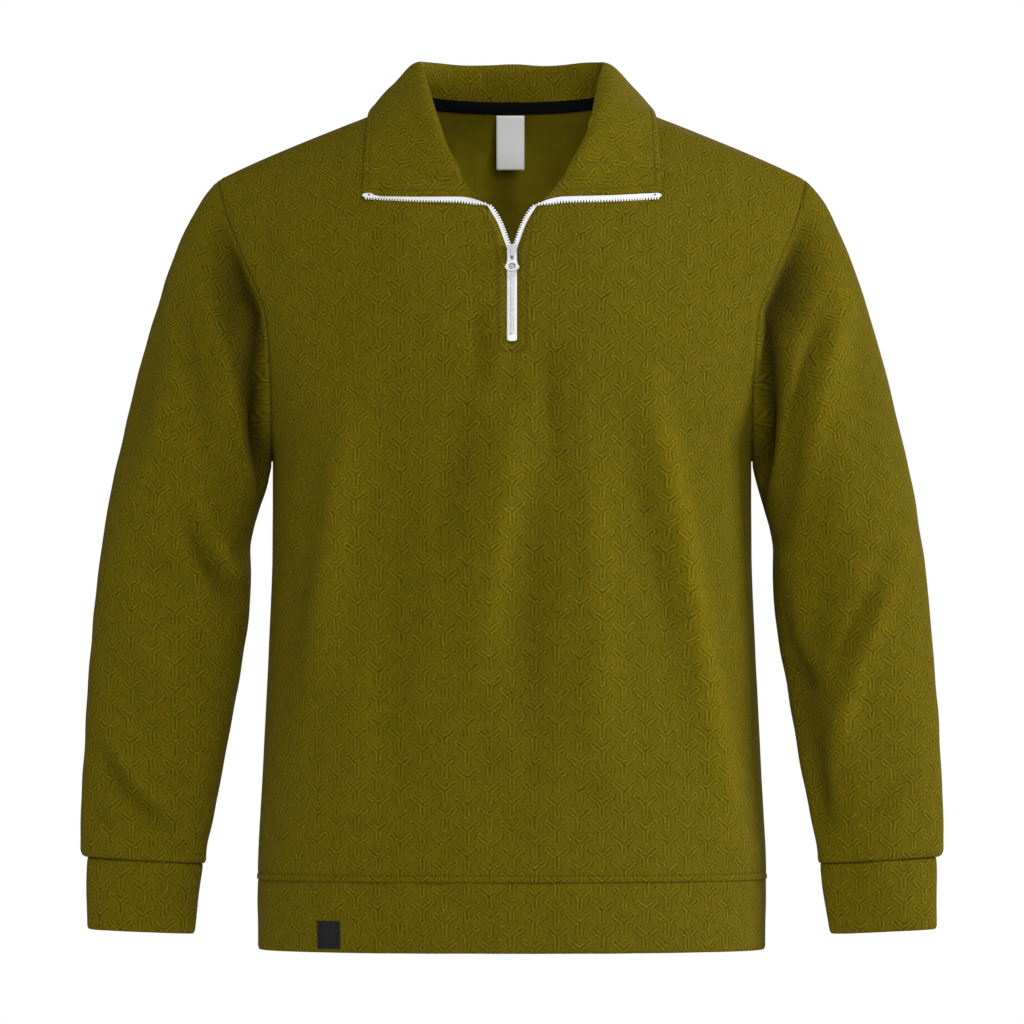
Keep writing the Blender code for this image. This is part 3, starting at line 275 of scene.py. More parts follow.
@dataclass(frozen=True)
class Creases:
    """Soft troughs (depth below zero) and ridges along bent lines, as seen from the piece's own side.

    Across a line at signed distance s: depth * (exp(-(s/w)^2) - lip * exp(-((s - 1.7w)/w)^2)), faded towards the
    line's ends by sin(pi t)^0.6.
    """

    chart: Table

    def relief(self, points: Array, side: Side) -> Array:
        """Height of the creases at the points.

        Args:
            points: grid of points.
            side: which side's lines to use.

        Returns:
            Offset along the normal for each point.
        """
        relief = np.zeros(points.shape[:-1])
        t = np.linspace(0, 1, 121)
        for row in self.chart.rows[self.chart.rows[:, 0] == side.value]:
            x1, z1, x2, z2, x3, z3, width, depth, lip = row[1:]
            line = ((1 - t)[:, None] ** 2 * np.array([x1, z1])
                    + (2 * t * (1 - t))[:, None] * np.array([2 * x2 - (x1 + x3) / 2, 2 * z2 - (z1 + z3) / 2])
                    + (t ** 2)[:, None] * np.array([x3, z3]))
            low, high = line.min(axis=0) - 4 * width, line.max(axis=0) + 4 * width
            near = ((points[..., 0] > low[0]) & (points[..., 0] < high[0])
                    & (points[..., 2] > low[1]) & (points[..., 2] < high[1]))
            spot = points[near][:, [0, 2]]
            apart = spot[:, None, :] - line[None]
            distance = np.linalg.norm(apart, axis=-1)
            nearest = distance.argmin(axis=-1)
            along = np.gradient(line, axis=0)[nearest]
            away = apart[np.arange(len(spot)), nearest]
            sign = np.sign(along[:, 0] * away[:, 1] - along[:, 1] * away[:, 0])
            signed = sign * distance.min(axis=-1)
            taper = np.sin(math.pi * np.clip(t[nearest], 0.04, 0.96)) ** 0.6
            relief[near] += depth * taper * (bell(signed, width) - lip * bell(signed - 1.7 * width, width))
        return relief


CREASES = Creases(Table("side x1 z1 x2 z2 x3 z3 width depth lip", [
    (-1, -0.026, -0.176, -0.025, -0.205, -0.027, -0.240, 0.008, -0.0040, 0.4),
    (-1, 0.026, -0.192, 0.030, -0.240, 0.040, -0.325, 0.009, -0.0042, -0.4),
    (-1, 0.116, -0.235, 0.147, -0.400, 0.188, -0.625, 0.0120, 0.0098, 0.0),
    (-1, 0.094, -0.265, 0.118, -0.390, 0.150, -0.560, 0.0130, -0.0034, 0.0),
    (-1, -0.123, -0.245, -0.142, -0.350, -0.155, -0.470, 0.018, 0.0072, 0.0),
    (-1, -0.156, -0.285, -0.176, -0.400, -0.192, -0.540, 0.013, -0.0034, 0.3),
    (-1, 0.004, -0.270, -0.010, -0.360, -0.028, -0.480, 0.014, 0.0064, 0.0),
    (-1, -0.037, -0.240, -0.044, -0.320, -0.052, -0.400, 0.013, -0.0040, 0.0),
    (-1, 0.022, -0.320, 0.016, -0.430, 0.014, -0.560, 0.015, -0.0036, 0.0),
    (-1, 0.062, -0.290, 0.072, -0.400, 0.080, -0.560, 0.018, 0.0050, 0.0),
    (-1, -0.085, -0.330, -0.092, -0.440, -0.100, -0.570, 0.016, -0.0030, 0.3),
    (-1, -0.108, -0.400, -0.118, -0.500, -0.126, -0.610, 0.016, 0.0032, 0.0),
    (-1, -0.209, -0.100, -0.206, -0.130, -0.203, -0.165, 0.012, -0.0022, 0.0),
    (-1, 0.204, -0.120, 0.200, -0.145, 0.197, -0.170, 0.012, -0.0022, 0.0),
    (-1, -0.250, -0.143, -0.236, -0.190, -0.220, -0.232, 0.008, -0.0050, 0.5),
    (-1, -0.278, -0.160, -0.266, -0.225, -0.243, -0.303, 0.009, -0.0055, -0.5),
    (-1, -0.297, -0.195, -0.308, -0.245, -0.315, -0.292, 0.012, -0.0036, 0.4),
    (-1, -0.268, -0.345, -0.247, -0.390, -0.226, -0.413, 0.008, -0.0085, 0.5),
    (-1, -0.303, -0.372, -0.290, -0.390, -0.276, -0.410, 0.011, -0.0028, 0.4),
    (-1, -0.330, -0.455, -0.306, -0.490, -0.281, -0.522, 0.014, -0.0026, 0.3),
    (-1, -0.348, -0.532, -0.320, -0.575, -0.280, -0.608, 0.008, -0.0070, 0.5),
    (-1, -0.351, -0.586, -0.343, -0.597, -0.333, -0.608, 0.007, -0.0030, 0.4),
    (-1, 0.262, -0.170, 0.240, -0.250, 0.223, -0.368, 0.009, -0.0070, 0.5),
    (-1, 0.275, -0.140, 0.272, -0.215, 0.262, -0.273, 0.013, 0.0045, 0.0),
    (-1, 0.291, -0.195, 0.297, -0.260, 0.302, -0.322, 0.013, -0.0032, -0.4),
    (-1, 0.312, -0.380, 0.275, -0.470, 0.252, -0.543, 0.009, -0.0070, 0.6),
    (-1, 0.262, -0.415, 0.244, -0.505, 0.262, -0.600, 0.016, -0.0090, 0.4),
    (-1, 0.252, -0.543, 0.255, -0.580, 0.262, -0.605, 0.008, -0.0050, 0.4),
    (-1, 0.224, -0.405, 0.230, -0.465, 0.251, -0.490, 0.009, -0.0050, 0.5),
    (-1, 0.331, -0.560, 0.310, -0.585, 0.285, -0.600, 0.010, -0.0026, 0.3),
    (1, -0.110, -0.150, -0.135, -0.290, -0.160, -0.460, 0.018, -0.0040, 0.4),
    (1, 0.100, -0.170, 0.130, -0.300, 0.150, -0.440, 0.018, -0.0040, -0.4),
    (1, -0.064, -0.024, -0.058, -0.040, -0.048, -0.052, 0.005, 0.0036, 0.0),
    (1, -0.036, -0.040, -0.040, -0.085, -0.034, -0.140, 0.007, 0.0030, 0.3),
    (1, 0.026, -0.036, 0.031, -0.080, 0.027, -0.130, 0.007, 0.0030, 0.3),
    (1, 0.030, -0.330, 0.020, -0.450, 0.028, -0.600, 0.024, 0.0036, 0.0),
    (1, -0.060, -0.380, -0.066, -0.480, -0.060, -0.600, 0.020, -0.0030, 0.3),
    (1, -0.180, -0.090, -0.192, -0.130, -0.196, -0.170, 0.012, -0.0024, 0.0),
    (1, 0.178, -0.094, 0.190, -0.130, 0.194, -0.176, 0.012, -0.0024, 0.0),
    (1, -0.255, -0.150, -0.245, -0.230, -0.228, -0.310, 0.010, -0.0055, 0.5),
    (1, -0.290, -0.390, -0.262, -0.420, -0.232, -0.430, 0.009, -0.0060, 0.5),
    (1, -0.335, -0.520, -0.300, -0.560, -0.272, -0.590, 0.009, -0.0048, 0.5),
    (1, 0.258, -0.140, 0.244, -0.235, 0.226, -0.320, 0.010, -0.0055, 0.5),
    (1, 0.320, -0.390, 0.280, -0.425, 0.240, -0.440, 0.009, -0.0060, 0.5),
    (1, 0.338, -0.500, 0.300, -0.560, 0.268, -0.600, 0.009, -0.0048, 0.5)]))


# ---------------------------------------------------------------- grids and shells

def grid_quads(index: Array, flip: bool = False) -> Array:
    """Quads over a grid of point numbers."""
    quads = pack(index[:-1, :-1], index[:-1, 1:], index[1:, 1:], index[1:, :-1]).reshape(-1, 4)
    return quads[:, [0, 3, 2, 1]] if flip else quads


def plain_index(rows: int, columns: int) -> Array:
    """Point numbers of an open grid."""
    return np.arange(rows * columns).reshape(rows, columns)


def closed_index(rings: int, around: int) -> Array:
    """Point numbers of a tube, its first column repeated at the end."""
    index = plain_index(rings, around)
    return np.concatenate([index, index[:, :1]], axis=1)


def vertex_normals(points: Array, quads: Array) -> Array:
    """Area-weighted normals: the sum of (c - a) x (d - b) over the quads abcd round a point."""
    a, b, c, d = (points[quads[:, k]] for k in range(4))
    face = np.cross(c - a, d - b)
    normals = np.zeros_like(points)
    for corner in range(4):
        np.add.at(normals, quads[:, corner], face)
    return unit(normals)


def border(quads: Array) -> tuple[Array, Array]:
    """Ends of the directed edges that only one quad has."""
    start = quads.reshape(-1)
    end = np.roll(quads, -1, axis=1).reshape(-1)
    size = int(quads.max()) + 1
    alone = ~np.isin(start * size + end, end * size + start)
    return start[alone], end[alone]


def spread(values: Array, keys: Array, count: int) -> Array:
    """Values given at some of the rows 0 .. count - 1, read in between on straight lines."""
    place = np.arange(count)
    low = np.clip(np.searchsorted(keys, place, side="right") - 1, 0, len(keys) - 2)
    t = ((place - keys[low]) / (keys[low + 1] - keys[low])).reshape(-1, *([1] * (values.ndim - 1)))
    return values[low] * (1 - t) + values[low + 1] * t


def flatten(points: Array, guess: Array, held: Optional[Array] = None, rounds: int = 150) -> Array:
    """Lays a grid of points out flat, as it was cut.

    Neighbours along rows, columns and both diagonals move in the plane until they are as far apart as on the
    surface, first on every eighth row and column, then on finer and finer grids.

    Args:
        points: grid of points on the surface.
        guess: first flat coordinates.
        held: marks the points that keep u at zero.
        rounds: moves on each grid.

    Returns:
        Flat coordinates (u, v) in metres.
    """
    rows, columns = guess.shape[:2]
    down, over = running_length(points, 0), running_length(points, 1)
    lean = (unit(np.gradient(points, axis=0)) * unit(np.gradient(points, axis=1))).sum(axis=-1)
    flat = guess.copy()
    every, first, last = slice(None), slice(None, -1), slice(1, None)
    for level in (8, 4, 2, 1):
        r = np.unique(np.append(np.arange(0, rows, level), rows - 1))
        c = np.unique(np.append(np.arange(0, columns, level), columns - 1))
        spot = np.ix_(r, c)
        before = flat[spot]
        part = before.copy()
        a, b = np.diff(down[spot], axis=0), np.diff(over[spot], axis=1)
        square = a[:, :-1] ** 2 + b[:-1] ** 2
        twice = 2 * a[:, :-1] * b[:-1] * lean[spot][:-1, :-1]
        ties = [((first, every), (last, every), a), ((every, first), (every, last), b),
                ((first, first), (last, last), np.sqrt(np.maximum(square + twice, 0))),
                ((last, first), (first, last), np.sqrt(np.maximum(square - twice, 0)))]
        for _ in range(rounds):
            move = np.zeros_like(part)
            for start, end, rest in ties:
                step = part[end] - part[start]
                length = np.maximum(np.linalg.norm(step, axis=-1), 1e-9)
                pull = step * ((1 - rest / length) / 2)[..., None]
                move[start] += pull
                move[end] -= pull
            part = part + move / 5
            if held is not None:
                part[held[spot], 0] = 0.0
        flat = flat + spread(spread(part - before, r, rows).swapaxes(0, 1), c, columns).swapaxes(0, 1)
    return flat


@dataclass
class Skin:
    """One layer of cloth.

    Points and quads are its mesh. Cloth holds flat coordinates in metres, which cloth_quads numbers for each quad,
    since a tube is cut open in the flat. Seam is each point's distance from the nearest seam, stitch its distance
    from a row of stitches, below zero on one side of it; the finish sinks grooves there and paints shade into them.
    The crease-shade array holds the height in the creases over its unit, less painted valley shade on the sleeves;
    the finish paints shade into troughs and highlight onto ridges from it.
    """

    points: Array
    quads: Array
    cloth: Array
    cloth_quads: Optional[Array] = None
    seam: Optional[Array] = None
    stitch: Optional[Array] = None
    # Crease heights, from which the finish paints shade into troughs and highlight onto ridges.
    fold: Optional[Array] = None
    normals: Optional[Array] = None

    def settle(self) -> "Skin":
        """Works the normals out afresh."""
        self.normals = vertex_normals(self.points, self.quads)
        return self

    def push(self, distance: Array) -> "Skin":
        """Moves each point along its normal and works the normals out afresh."""
        self.points = self.points + self.normals * distance.reshape(-1, 1)
        return self.settle()


def marry(*edges: tuple[Skin, Array]) -> None:
    """Skins that meet at a seam get the mean of their points and normals along it.

    Args:
        edges: each skin with its point numbers along the seam, in the same order.
    """
    place = sum(skin.points[index] for skin, index in edges) / len(edges)
    normal = unit(sum(skin.normals[index] for skin, index in edges))
    for skin, index in edges:
        skin.points[index] = place
        skin.normals[index] = normal


def grid_skin(grid: Array, cloth: Array, flip: bool = False) -> Skin:
    """Skin of an open grid."""
    quads = grid_quads(plain_index(*grid.shape[:2]), flip)
    return Skin(grid.reshape(-1, 3), quads, cloth.reshape(-1, 2)).settle()


def tube_skin(grid: Array, hand: int, flip: bool) -> Skin:
    """Skin of a closed tube, laid flat after a cut along its first column.

    Args:
        grid: rings by points, from the upper end to the lower end.
        hand: sign of u.
        flip: turns the faces round.

    Returns:
        The skin, with v measured up from the lower end.
    """
    rings, around = grid.shape[:2]
    opened = np.concatenate([grid, grid[:, :1]], axis=1)
    over = running_length(opened, axis=1)
    guess = pack(over - over[:, around // 2:around // 2 + 1], running_length(opened[::-1])[::-1])
    cloth = flatten(opened, guess) * np.array([hand, 1.0])
    return Skin(grid.reshape(-1, 3), grid_quads(closed_index(rings, around), flip), cloth.reshape(-1, 2),
                grid_quads(plain_index(rings, around + 1), flip)).settle()


def mesh_object(name: str, points: Array, faces: list[list[int]], materials: Sequence[Material],
                cloth: Optional[Array] = None, slots: Optional[Array] = None,
                measures: Optional[dict[str, Array]] = None) -> bpy.types.Object:
    """A smooth-shaded mesh object.

    Args:
        name: object name.
        points: vertex places.
        faces: vertex numbers of each face.
        materials: material slots.
        cloth: cloth coordinates of each face corner, for the UV map.
        slots: material slot of each face.
        measures: float attributes of the vertices, by name.

    Returns:
        The object, linked to the scene.
    """
    mesh = bpy.data.meshes.new(name)
    mesh.from_pydata(points.tolist(), [], faces)
    if cloth is not None:
        layer = mesh.uv_layers.new(name="cloth")
        layer.data.foreach_set("uv", np.ascontiguousarray(cloth, dtype=np.float32).ravel())
    for label, values in (measures or {}).items():
        layer = mesh.attributes.new(label, "FLOAT", "POINT")
        layer.data.foreach_set("value", values.astype(np.float32))
    if slots is not None:
        mesh.polygons.foreach_set("material_index", slots.astype(np.int32))
    mesh.shade_smooth()
    mesh.update()
    thing = bpy.data.objects.new(name, mesh)
    bpy.context.scene.collection.objects.link(thing)
    for material in materials:
        mesh.materials.append(material)
    return thing


def shell(name: str, skin: Skin, thickness: float, materials: Sequence[Material],
          roundness: float = 0.0) -> bpy.types.Object:
    """A closed thin shell: the skin, the same skin moved in by the thickness, and a rim between them.

    The rim's middle line stands out from the edge by roundness times the thickness.

    Args:
        name: object name.
        skin: outer skin.
        thickness: wall.
        materials: slot 0 for the outside and rim, slot 1, if given, for the inside.
        roundness: how far the rim bulges.

    Returns:
        The shell's object.
    """
    count = len(skin.points)
    inner = skin.points - skin.normals * thickness
    a, b = border(skin.quads)
    outward = np.zeros_like(skin.points)
    edge = skin.points[b] - skin.points[a]
    for end in (a, b):
        np.add.at(outward, end, np.cross(unit(edge), skin.normals[end]))
    used = np.unique(np.concatenate([a, b]))
    place = np.full(count, -1)
    place[used] = np.arange(len(used)) + 2 * count
    middle = (skin.points[used] + inner[used]) / 2 + unit(outward[used]) * thickness * roundness
    quads = np.concatenate([skin.quads, skin.quads[:, [0, 3, 2, 1]] + count,
                            pack(b, a, place[a], place[b]),
                            pack(place[b], place[a], a + count, b + count)])
    slots = np.zeros(len(quads))
    if len(materials) > 1:
        slots[len(skin.quads):2 * len(skin.quads)] = 1
    flat = skin.quads if skin.cloth_quads is None else skin.cloth_quads
    flat_of = np.zeros(count, dtype=int)
    flat_of[skin.quads] = flat
    rim = flat_of[pack(b, a, a, b)]
    corners = np.concatenate([flat, flat[:, [0, 3, 2, 1]], rim, rim])
    measures = {}
    # Seam, stitch and crease measures: the finish sinks grooves from them and paints shade and highlight from them.
    for label, values, usual in (("seam", skin.seam, 1.0), ("stitch", skin.stitch, 1.0), ("fold", skin.fold, 0.0)):
        values = np.full(count, usual) if values is None else values
        measures[label] = np.concatenate([values, values, values[used]])
    return mesh_object(name, np.concatenate([skin.points, inner, middle]), quads.tolist(), materials,
                       skin.cloth[corners.reshape(-1)], slots, measures)


def dress(thing: bpy.types.Object, nodes: Sequence[str] = (), body: str = "garment") -> bpy.types.Object:
    """Ties a finished piece to its body, hides the solids it stands for and logs its face count."""
    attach(thing, body)
    if nodes:
        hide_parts(*nodes)
    LOG.info("%s: %d faces", thing.name, len(thing.data.polygons))
    return thing


# Height, turns of x and of z in radians a metre, and start of each wave.
RIPPLES = ((0.00045, 92, 34, 0.3), (0.00035, -128, 47, 1.7), (0.00028, 61, 143, 2.9), (0.00022, 201, -88, 4.0))


def ripple(points: Array) -> Array:
    """Small unevenness of worn cloth: four crossing sine waves 25 to 70 mm long, louder and softer by places."""
    x, z = points[..., 0], points[..., 2]
    swell = 0.6 + 0.4 * np.sin(23 * x + 11 * z + 1.0) * np.sin(31 * z - 9 * x)
    return swell * sum(height * np.sin(kx * x + kz * z + start) for height, kx, kz, start in RIPPLES)


# ---------------------------------------------------------------- node sketches and finishes

class Sketch:
    """Short hand for adding and linking shader nodes in one tree."""

    def __init__(self, tree: Tree) -> None:
        """Keeps the tree."""
        self.tree = tree

    def add(self, kind: str, *inputs: object, **settings: object) -> bpy.types.Node:
        """Adds a node, sets its properties and feeds its first inputs with values or sockets.

        Args:
            kind: node type, without ShaderNode.
            inputs: value or socket for each input in turn; None leaves an input as it is.
            settings: node properties.

        Returns:
            The node.
        """
        node = self.tree.nodes.new("ShaderNode" + kind)
        for name, value in settings.items():
            setattr(node, name, value)
        for socket, value in zip(node.inputs, inputs):
            self.feed(socket, value)
        return node

    def feed(self, socket: Socket, value: object) -> None:
        """Links a socket to an input or sets its value."""
        if isinstance(value, Socket):
            self.tree.links.new(value, socket)
        elif value is not None:
            socket.default_value = value

    def fill(self, node: bpy.types.Node, values: dict[str, object]) -> None:
        """Feeds a node's inputs by name."""
        for name, value in values.items():
            self.feed(node.inputs[name], value)

    def place(self, group: Tree, values: dict[str, object]) -> bpy.types.Node:
        """Places a node group and feeds its inputs by name."""
        node = self.add("Group", node_tree=group)
        self.fill(node, values)
        return node

    def bump(self, height: object) -> Socket:
        """Normal of a surface raised by a height in metres."""
        node = self.add("Bump")
        self.fill(node, {"Strength": 1.0, "Distance": 1.0, "Height": height})
        return node.outputs[0]

    def math(self, operation: str, a: object, b: object = None, c: object = None) -> Socket:
        """Result of a Math node."""
        return self.add("Math", a, b, c, operation=operation).outputs[0]

    def root_of_squares(self, a: object, b: object) -> Socket:
        """Length of the step (a, b): the root of a^2 + b^2."""
        return self.math("SQRT", self.math("ADD", self.math("POWER", a, 2.0), self.math("POWER", b, 2.0)))

    def waves(self, value: object, pitch: float) -> Socket:
        """Sine with the pitch given."""
        return self.math("SINE", self.math("MULTIPLY", value, 2 * math.pi / pitch))

    def ramp(self, factor: object, stops: Sequence[tuple[float, float]],
             ease_in: bool = True) -> Socket:
        """Grey level read from stops of (place, level)."""
        node = self.add("ValToRGB", factor)
        node.color_ramp.interpolation = "EASE" if ease_in else "LINEAR"
        elements = node.color_ramp.elements
        while len(elements) < len(stops):
            elements.new(0.5)
        for element, (place, level) in zip(elements, stops):
            element.position = place
            element.color = (level, level, level, 1.0)
        return node.outputs[0]

    def noise(self, vector: object, scale: float, detail: float = 2.0, rough: float = 0.5) -> Socket:
        """Grey noise."""
        node = self.add("TexNoise")
        self.fill(node, {"Vector": vector, "Scale": scale, "Detail": detail, "Roughness": rough})
        return node.outputs["Fac"]

    def blend(self, kind: str, amount: object, a: object, b: object) -> Socket:
        """Two colours mixed."""
        node = self.add("Mix", data_type="RGBA", blend_type=kind)
        self.fill(node, {"Factor": amount, "A": a, "B": b})
        return node.outputs["Result"]


GroupParts = tuple[Tree, Sketch, dict[str, Socket], bpy.types.Node]


def node_group(name: str, inputs: Sequence[tuple[str, str, object]], outputs: Sequence[str]) -> GroupParts:
    """An empty shader node group with named sockets.

    Args:
        name: group name.
        inputs: (name, kind, default) of each input.
        outputs: names of the float outputs.

    Returns:
        The tree, a sketch of it, its inputs by name, and its output node.
    """
    tree = bpy.data.node_groups.new(name, "ShaderNodeTree")
    for label, kind, default in inputs:
        socket = tree.interface.new_socket(label, in_out="INPUT", socket_type=kind)
        if default is not None:
            socket.default_value = default
    for label in outputs:
        tree.interface.new_socket(label, in_out="OUTPUT", socket_type="NodeSocketFloat")
    entry = tree.nodes.new("NodeGroupInput")
    leave = tree.nodes.new("NodeGroupOutput")
    return tree, Sketch(tree), {socket.name: socket for socket in entry.outputs if socket.name}, leave


@dataclass(frozen=True)
class ThreeArmPattern:
    """The knit's raised repeat: a stem and two arms in a half-drop lattice, each limb a ridge pair and a groove."""

    column: float = 0.0186
    pitch: float = 0.0219
    junction: float = 0.0013
    stem: float = 0.0096
    arm: float = 0.0108
    lean: float = math.radians(50)
    reach: float = 0.0042
    wander: float = 0.0030
    profile: tuple[tuple[float, float], ...] = ((0.0, 0.10), (0.10, 0.30), (0.28, 0.82), (0.42, 1.0), (0.56, 0.66),
                                                (0.72, 0.18), (1.0, 0.5))

    def distance_group(self) -> Tree:
        """Distance to the nearest limb of one lattice.

        With |x| and y from the junction of the cell's figure, a limb from the junction to b has the distance
        |p - b clamp(p.b/b.b)|; the group gives the lesser of stem and arm.
        """
        tree, s, given, leave = node_group("limb_distance", [
            ("U", "NodeSocketFloat", 0.0), ("V", "NodeSocketFloat", 0.0),
            ("Shift U", "NodeSocketFloat", 0.0), ("Shift V", "NodeSocketFloat", 0.0)], ["Distance"])

        def cell(value: object, shift: object, size: float) -> Socket:
            """value minus shift, folded to -size/2 .. size/2."""
            turns = s.math("DIVIDE", s.math("SUBTRACT", value, shift), size)
            return s.math("MULTIPLY", s.math("SUBTRACT", s.math("FRACT", turns), 0.5), size)

        x = s.math("ABSOLUTE", cell(given["U"], given["Shift U"], 2 * self.column))
        y = s.math("SUBTRACT", cell(given["V"], given["Shift V"], self.pitch), self.junction)
        run = s.math("DIVIDE", s.math("MULTIPLY", y, -1.0), self.stem)
        run = s.add("Clamp", run).outputs[0]
        stem = s.root_of_squares(x, s.math("ABSOLUTE", s.math("MULTIPLY_ADD", run, self.stem, y)))
        bx, by = self.arm * math.sin(self.lean), self.arm * math.cos(self.lean)
        dot = s.math("ADD", s.math("MULTIPLY", x, bx), s.math("MULTIPLY", y, by))
        run = s.add("Clamp", s.math("DIVIDE", dot, self.arm ** 2)).outputs[0]
        arm = s.root_of_squares(s.math("ABSOLUTE", s.math("MULTIPLY_ADD", run, -bx, x)),
                                s.math("ABSOLUTE", s.math("MULTIPLY_ADD", run, -by, y)))
        s.feed(leave.inputs["Distance"], s.math("MINIMUM", stem, arm))
        return tree

    def group(self) -> Tree:
        """Relief of the repeat, 0 to 1 with 0.5 between the figures, from cloth coordinates in metres."""
        distance = self.distance_group()
        tree, s, given, leave = node_group("three_arm_relief", [("Cloth", "NodeSocketVector", None)], ["Relief"])
        wander = s.add("TexNoise", given["Cloth"])
        wander.inputs["Scale"].default_value = 420.0
        shift = s.add("VectorMath", wander.outputs["Color"], (0.5, 0.5, 0.5), operation="SUBTRACT")
        pulled = s.add("VectorMath", shift.outputs[0], (self.wander, self.wander, 0.0), given["Cloth"],
                       operation="MULTIPLY_ADD")
        u, v = s.add("SeparateXYZ", pulled.outputs[0]).outputs[:2]
        lattices = [s.place(distance, {"U": u, "V": v, "Shift U": shift_u, "Shift V": shift_v}).outputs[0]
                    for shift_u, shift_v in ((0.0, 0.0), (self.column, self.pitch / 2))]
        near = s.math("DIVIDE", s.math("MINIMUM", *lattices), self.reach)
        relief = s.ramp(near, self.profile)
        strength = s.ramp(s.noise(given["Cloth"], 230.0, 2.0), [(0.38, 0.26), (0.62, 1.0)])
        s.feed(leave.inputs["Relief"], s.math("MULTIPLY_ADD", s.math("SUBTRACT", relief, 0.5), strength, 0.5))
        return tree


WALE, COURSE = 0.00085, 0.00065


def yarn_group() -> Tree:
    """Fine knit: upright wales crossed by courses, broken by noise, and a slow mottle, from cloth coordinates."""
    tree, s, given, leave = node_group("jersey_yarn", [("Cloth", "NodeSocketVector", None)], ["Yarn", "Mottle"])
    u, v = s.add("SeparateXYZ", given["Cloth"]).outputs[:2]
    knit = s.math("MULTIPLY_ADD", s.math("MULTIPLY", s.waves(u, WALE), s.waves(v, COURSE)), 0.22, 0.5)
    grain = s.noise(given["Cloth"], 950.0, 3.0, 0.65)
    s.feed(leave.inputs["Yarn"], s.math("ADD", s.math("MULTIPLY", knit, 0.45), s.math("MULTIPLY", grain, 0.55)))
    s.feed(leave.inputs["Mottle"], s.noise(given["Cloth"], 75.0, 2.0, 0.5))
    return tree


def seam_group() -> Tree:
    """Groove of a seam or stitch line: exp(-(distance/width)^2), 0 far off it to 1 on it."""
    tree, s, given, leave = node_group("seam_groove", [
        ("Distance", "NodeSocketFloat", 1.0), ("Width", "NodeSocketFloat", 0.0007)], ["Groove"])
    square = s.math("POWER", s.math("DIVIDE", given["Distance"], given["Width"]), 2.0)
    s.feed(leave.inputs["Groove"], s.math("POWER", math.e, s.math("MULTIPLY", square, -1.0)))
    return tree


def principled(name: str) -> tuple[Material, Sketch, bpy.types.Node]:
    """A new material, a sketch of its tree, and its Principled shader."""
    material = bpy.data.materials.new(name)
    material.use_nodes = True
    return material, Sketch(material.node_tree), material.node_tree.nodes["Principled BSDF"]


def dark_and_full(colour: Sequence[float], share: float) -> tuple[tuple[float, ...], tuple[float, ...]]:
    """A colour at the share given and in full, both opaque."""
    return (*(part * share for part in colour), 1.0), (*colour, 1.0)


@dataclass(frozen=True)
class JerseyFinish:
    """Olive double jersey, with or without its raised repeat; painted highlight on ridges, painted shade in hollows.
    """

    name: str
    colour: tuple[float, float, float] = (0.112, 0.086, 0.0014)
    relief: float = 0.00115
    yarn_height: float = 0.00026
    mottle_height: float = 0.0016
    seam_depth: float = 0.00022
    # Painted highlight on the repeat's ridges, and painted shade in its grooves, along seams and in crease troughs.
    painted_ridge_highlight: float = 1.62
    painted_groove_shade: float = 0.42
    seam_painted_shade_share: float = 0.40
    fold_share: float = 0.24

    def shade(self, amount: float, green: float = 1.0) -> tuple[float, float, float, float]:
        """The cloth's colour, lighter or darker, greener or browner."""
        red, mid, blue = self.colour
        return (red * amount / green, mid * amount * green, blue * amount, 1.0)

    def build(self, pattern: Tree, yarn: Tree,
              groove: Tree) -> Material:
        """The material: raised repeat and yarn; painted highlight on ridges, painted shade in grooves and seams."""
        material, s, shader = principled(self.name)
        cloth = s.add("UVMap", uv_map="cloth").outputs[0]
        fine = s.place(yarn, {"Cloth": cloth})
        slow = s.ramp(fine.outputs["Mottle"], [(0.30, 0.0), (0.70, 1.0)], False)
        yarns = s.ramp(fine.outputs["Yarn"], [(0.36, 0.0), (0.64, 1.0)], False)
        colour = s.blend("MIX", slow, self.shade(0.76, 1.05), self.shade(0.96, 0.97))
        colour = s.blend("MIX", s.math("MULTIPLY", yarns, 0.50), colour, self.shade(1.36))
        height = s.math("MULTIPLY_ADD", yarns, self.yarn_height,
                        s.math("MULTIPLY", fine.outputs["Mottle"], self.mottle_height))
        if self.relief > 0:
            raised = s.place(pattern, {"Cloth": cloth}).outputs["Relief"]
            # Painted highlight on the repeat's ridges and painted shade in its grooves, beside the bump's real
            # relief.
            ridge = s.ramp(raised, [(0.55, 0.0), (1.0, 0.90)], False)
            painted_groove_mask = s.ramp(raised, [(0.15, 0.95), (0.48, 0.0)], False)
            colour = s.blend("MIX", ridge, colour, self.shade(self.painted_ridge_highlight))
            colour = s.blend("MIX", painted_groove_mask, colour, self.shade(self.painted_groove_shade))
            height = s.math("MULTIPLY_ADD", raised, self.relief, height)
        seam, stitch, fold = (s.add("Attribute", attribute_name=name).outputs["Fac"]
                              for name in ("seam", "stitch", "fold"))
        nearest = s.math("MINIMUM", seam, s.math("ABSOLUTE", stitch))
        groove_depth_and_painted_shade = s.place(groove, {"Distance": nearest}).outputs["Groove"]
        # Painted shade along the seam and stitch grooves.
        colour = s.blend("MIX", s.math("MULTIPLY", groove_depth_and_painted_shade, self.seam_painted_shade_share), colour, self.shade(0.45))
        # Painted shade in crease troughs and painted highlight on crease ridges, from the crease heights.
        colour = s.blend("MULTIPLY", 1.0, colour, s.math("MULTIPLY_ADD", fold, self.fold_share, 1.0))
        s.fill(shader, {"Base Color": colour,
                        "Normal": s.bump(s.math("MULTIPLY_ADD", groove_depth_and_painted_shade, -self.seam_depth, height)),
                        "Roughness": s.ramp(fine.outputs["Yarn"], [(0.3, 0.96), (0.7, 0.84)], False),
                        "Specular IOR Level": 0.07, "Sheen Weight": 0.05, "Sheen Roughness": 0.5,
                        "Sheen Tint": (0.45, 0.40, 0.05, 1.0)})
        return material


class Weave(Enum):
    """How a trim is woven."""

    HERRINGBONE = "herringbone"
    PLAIN = "plain"


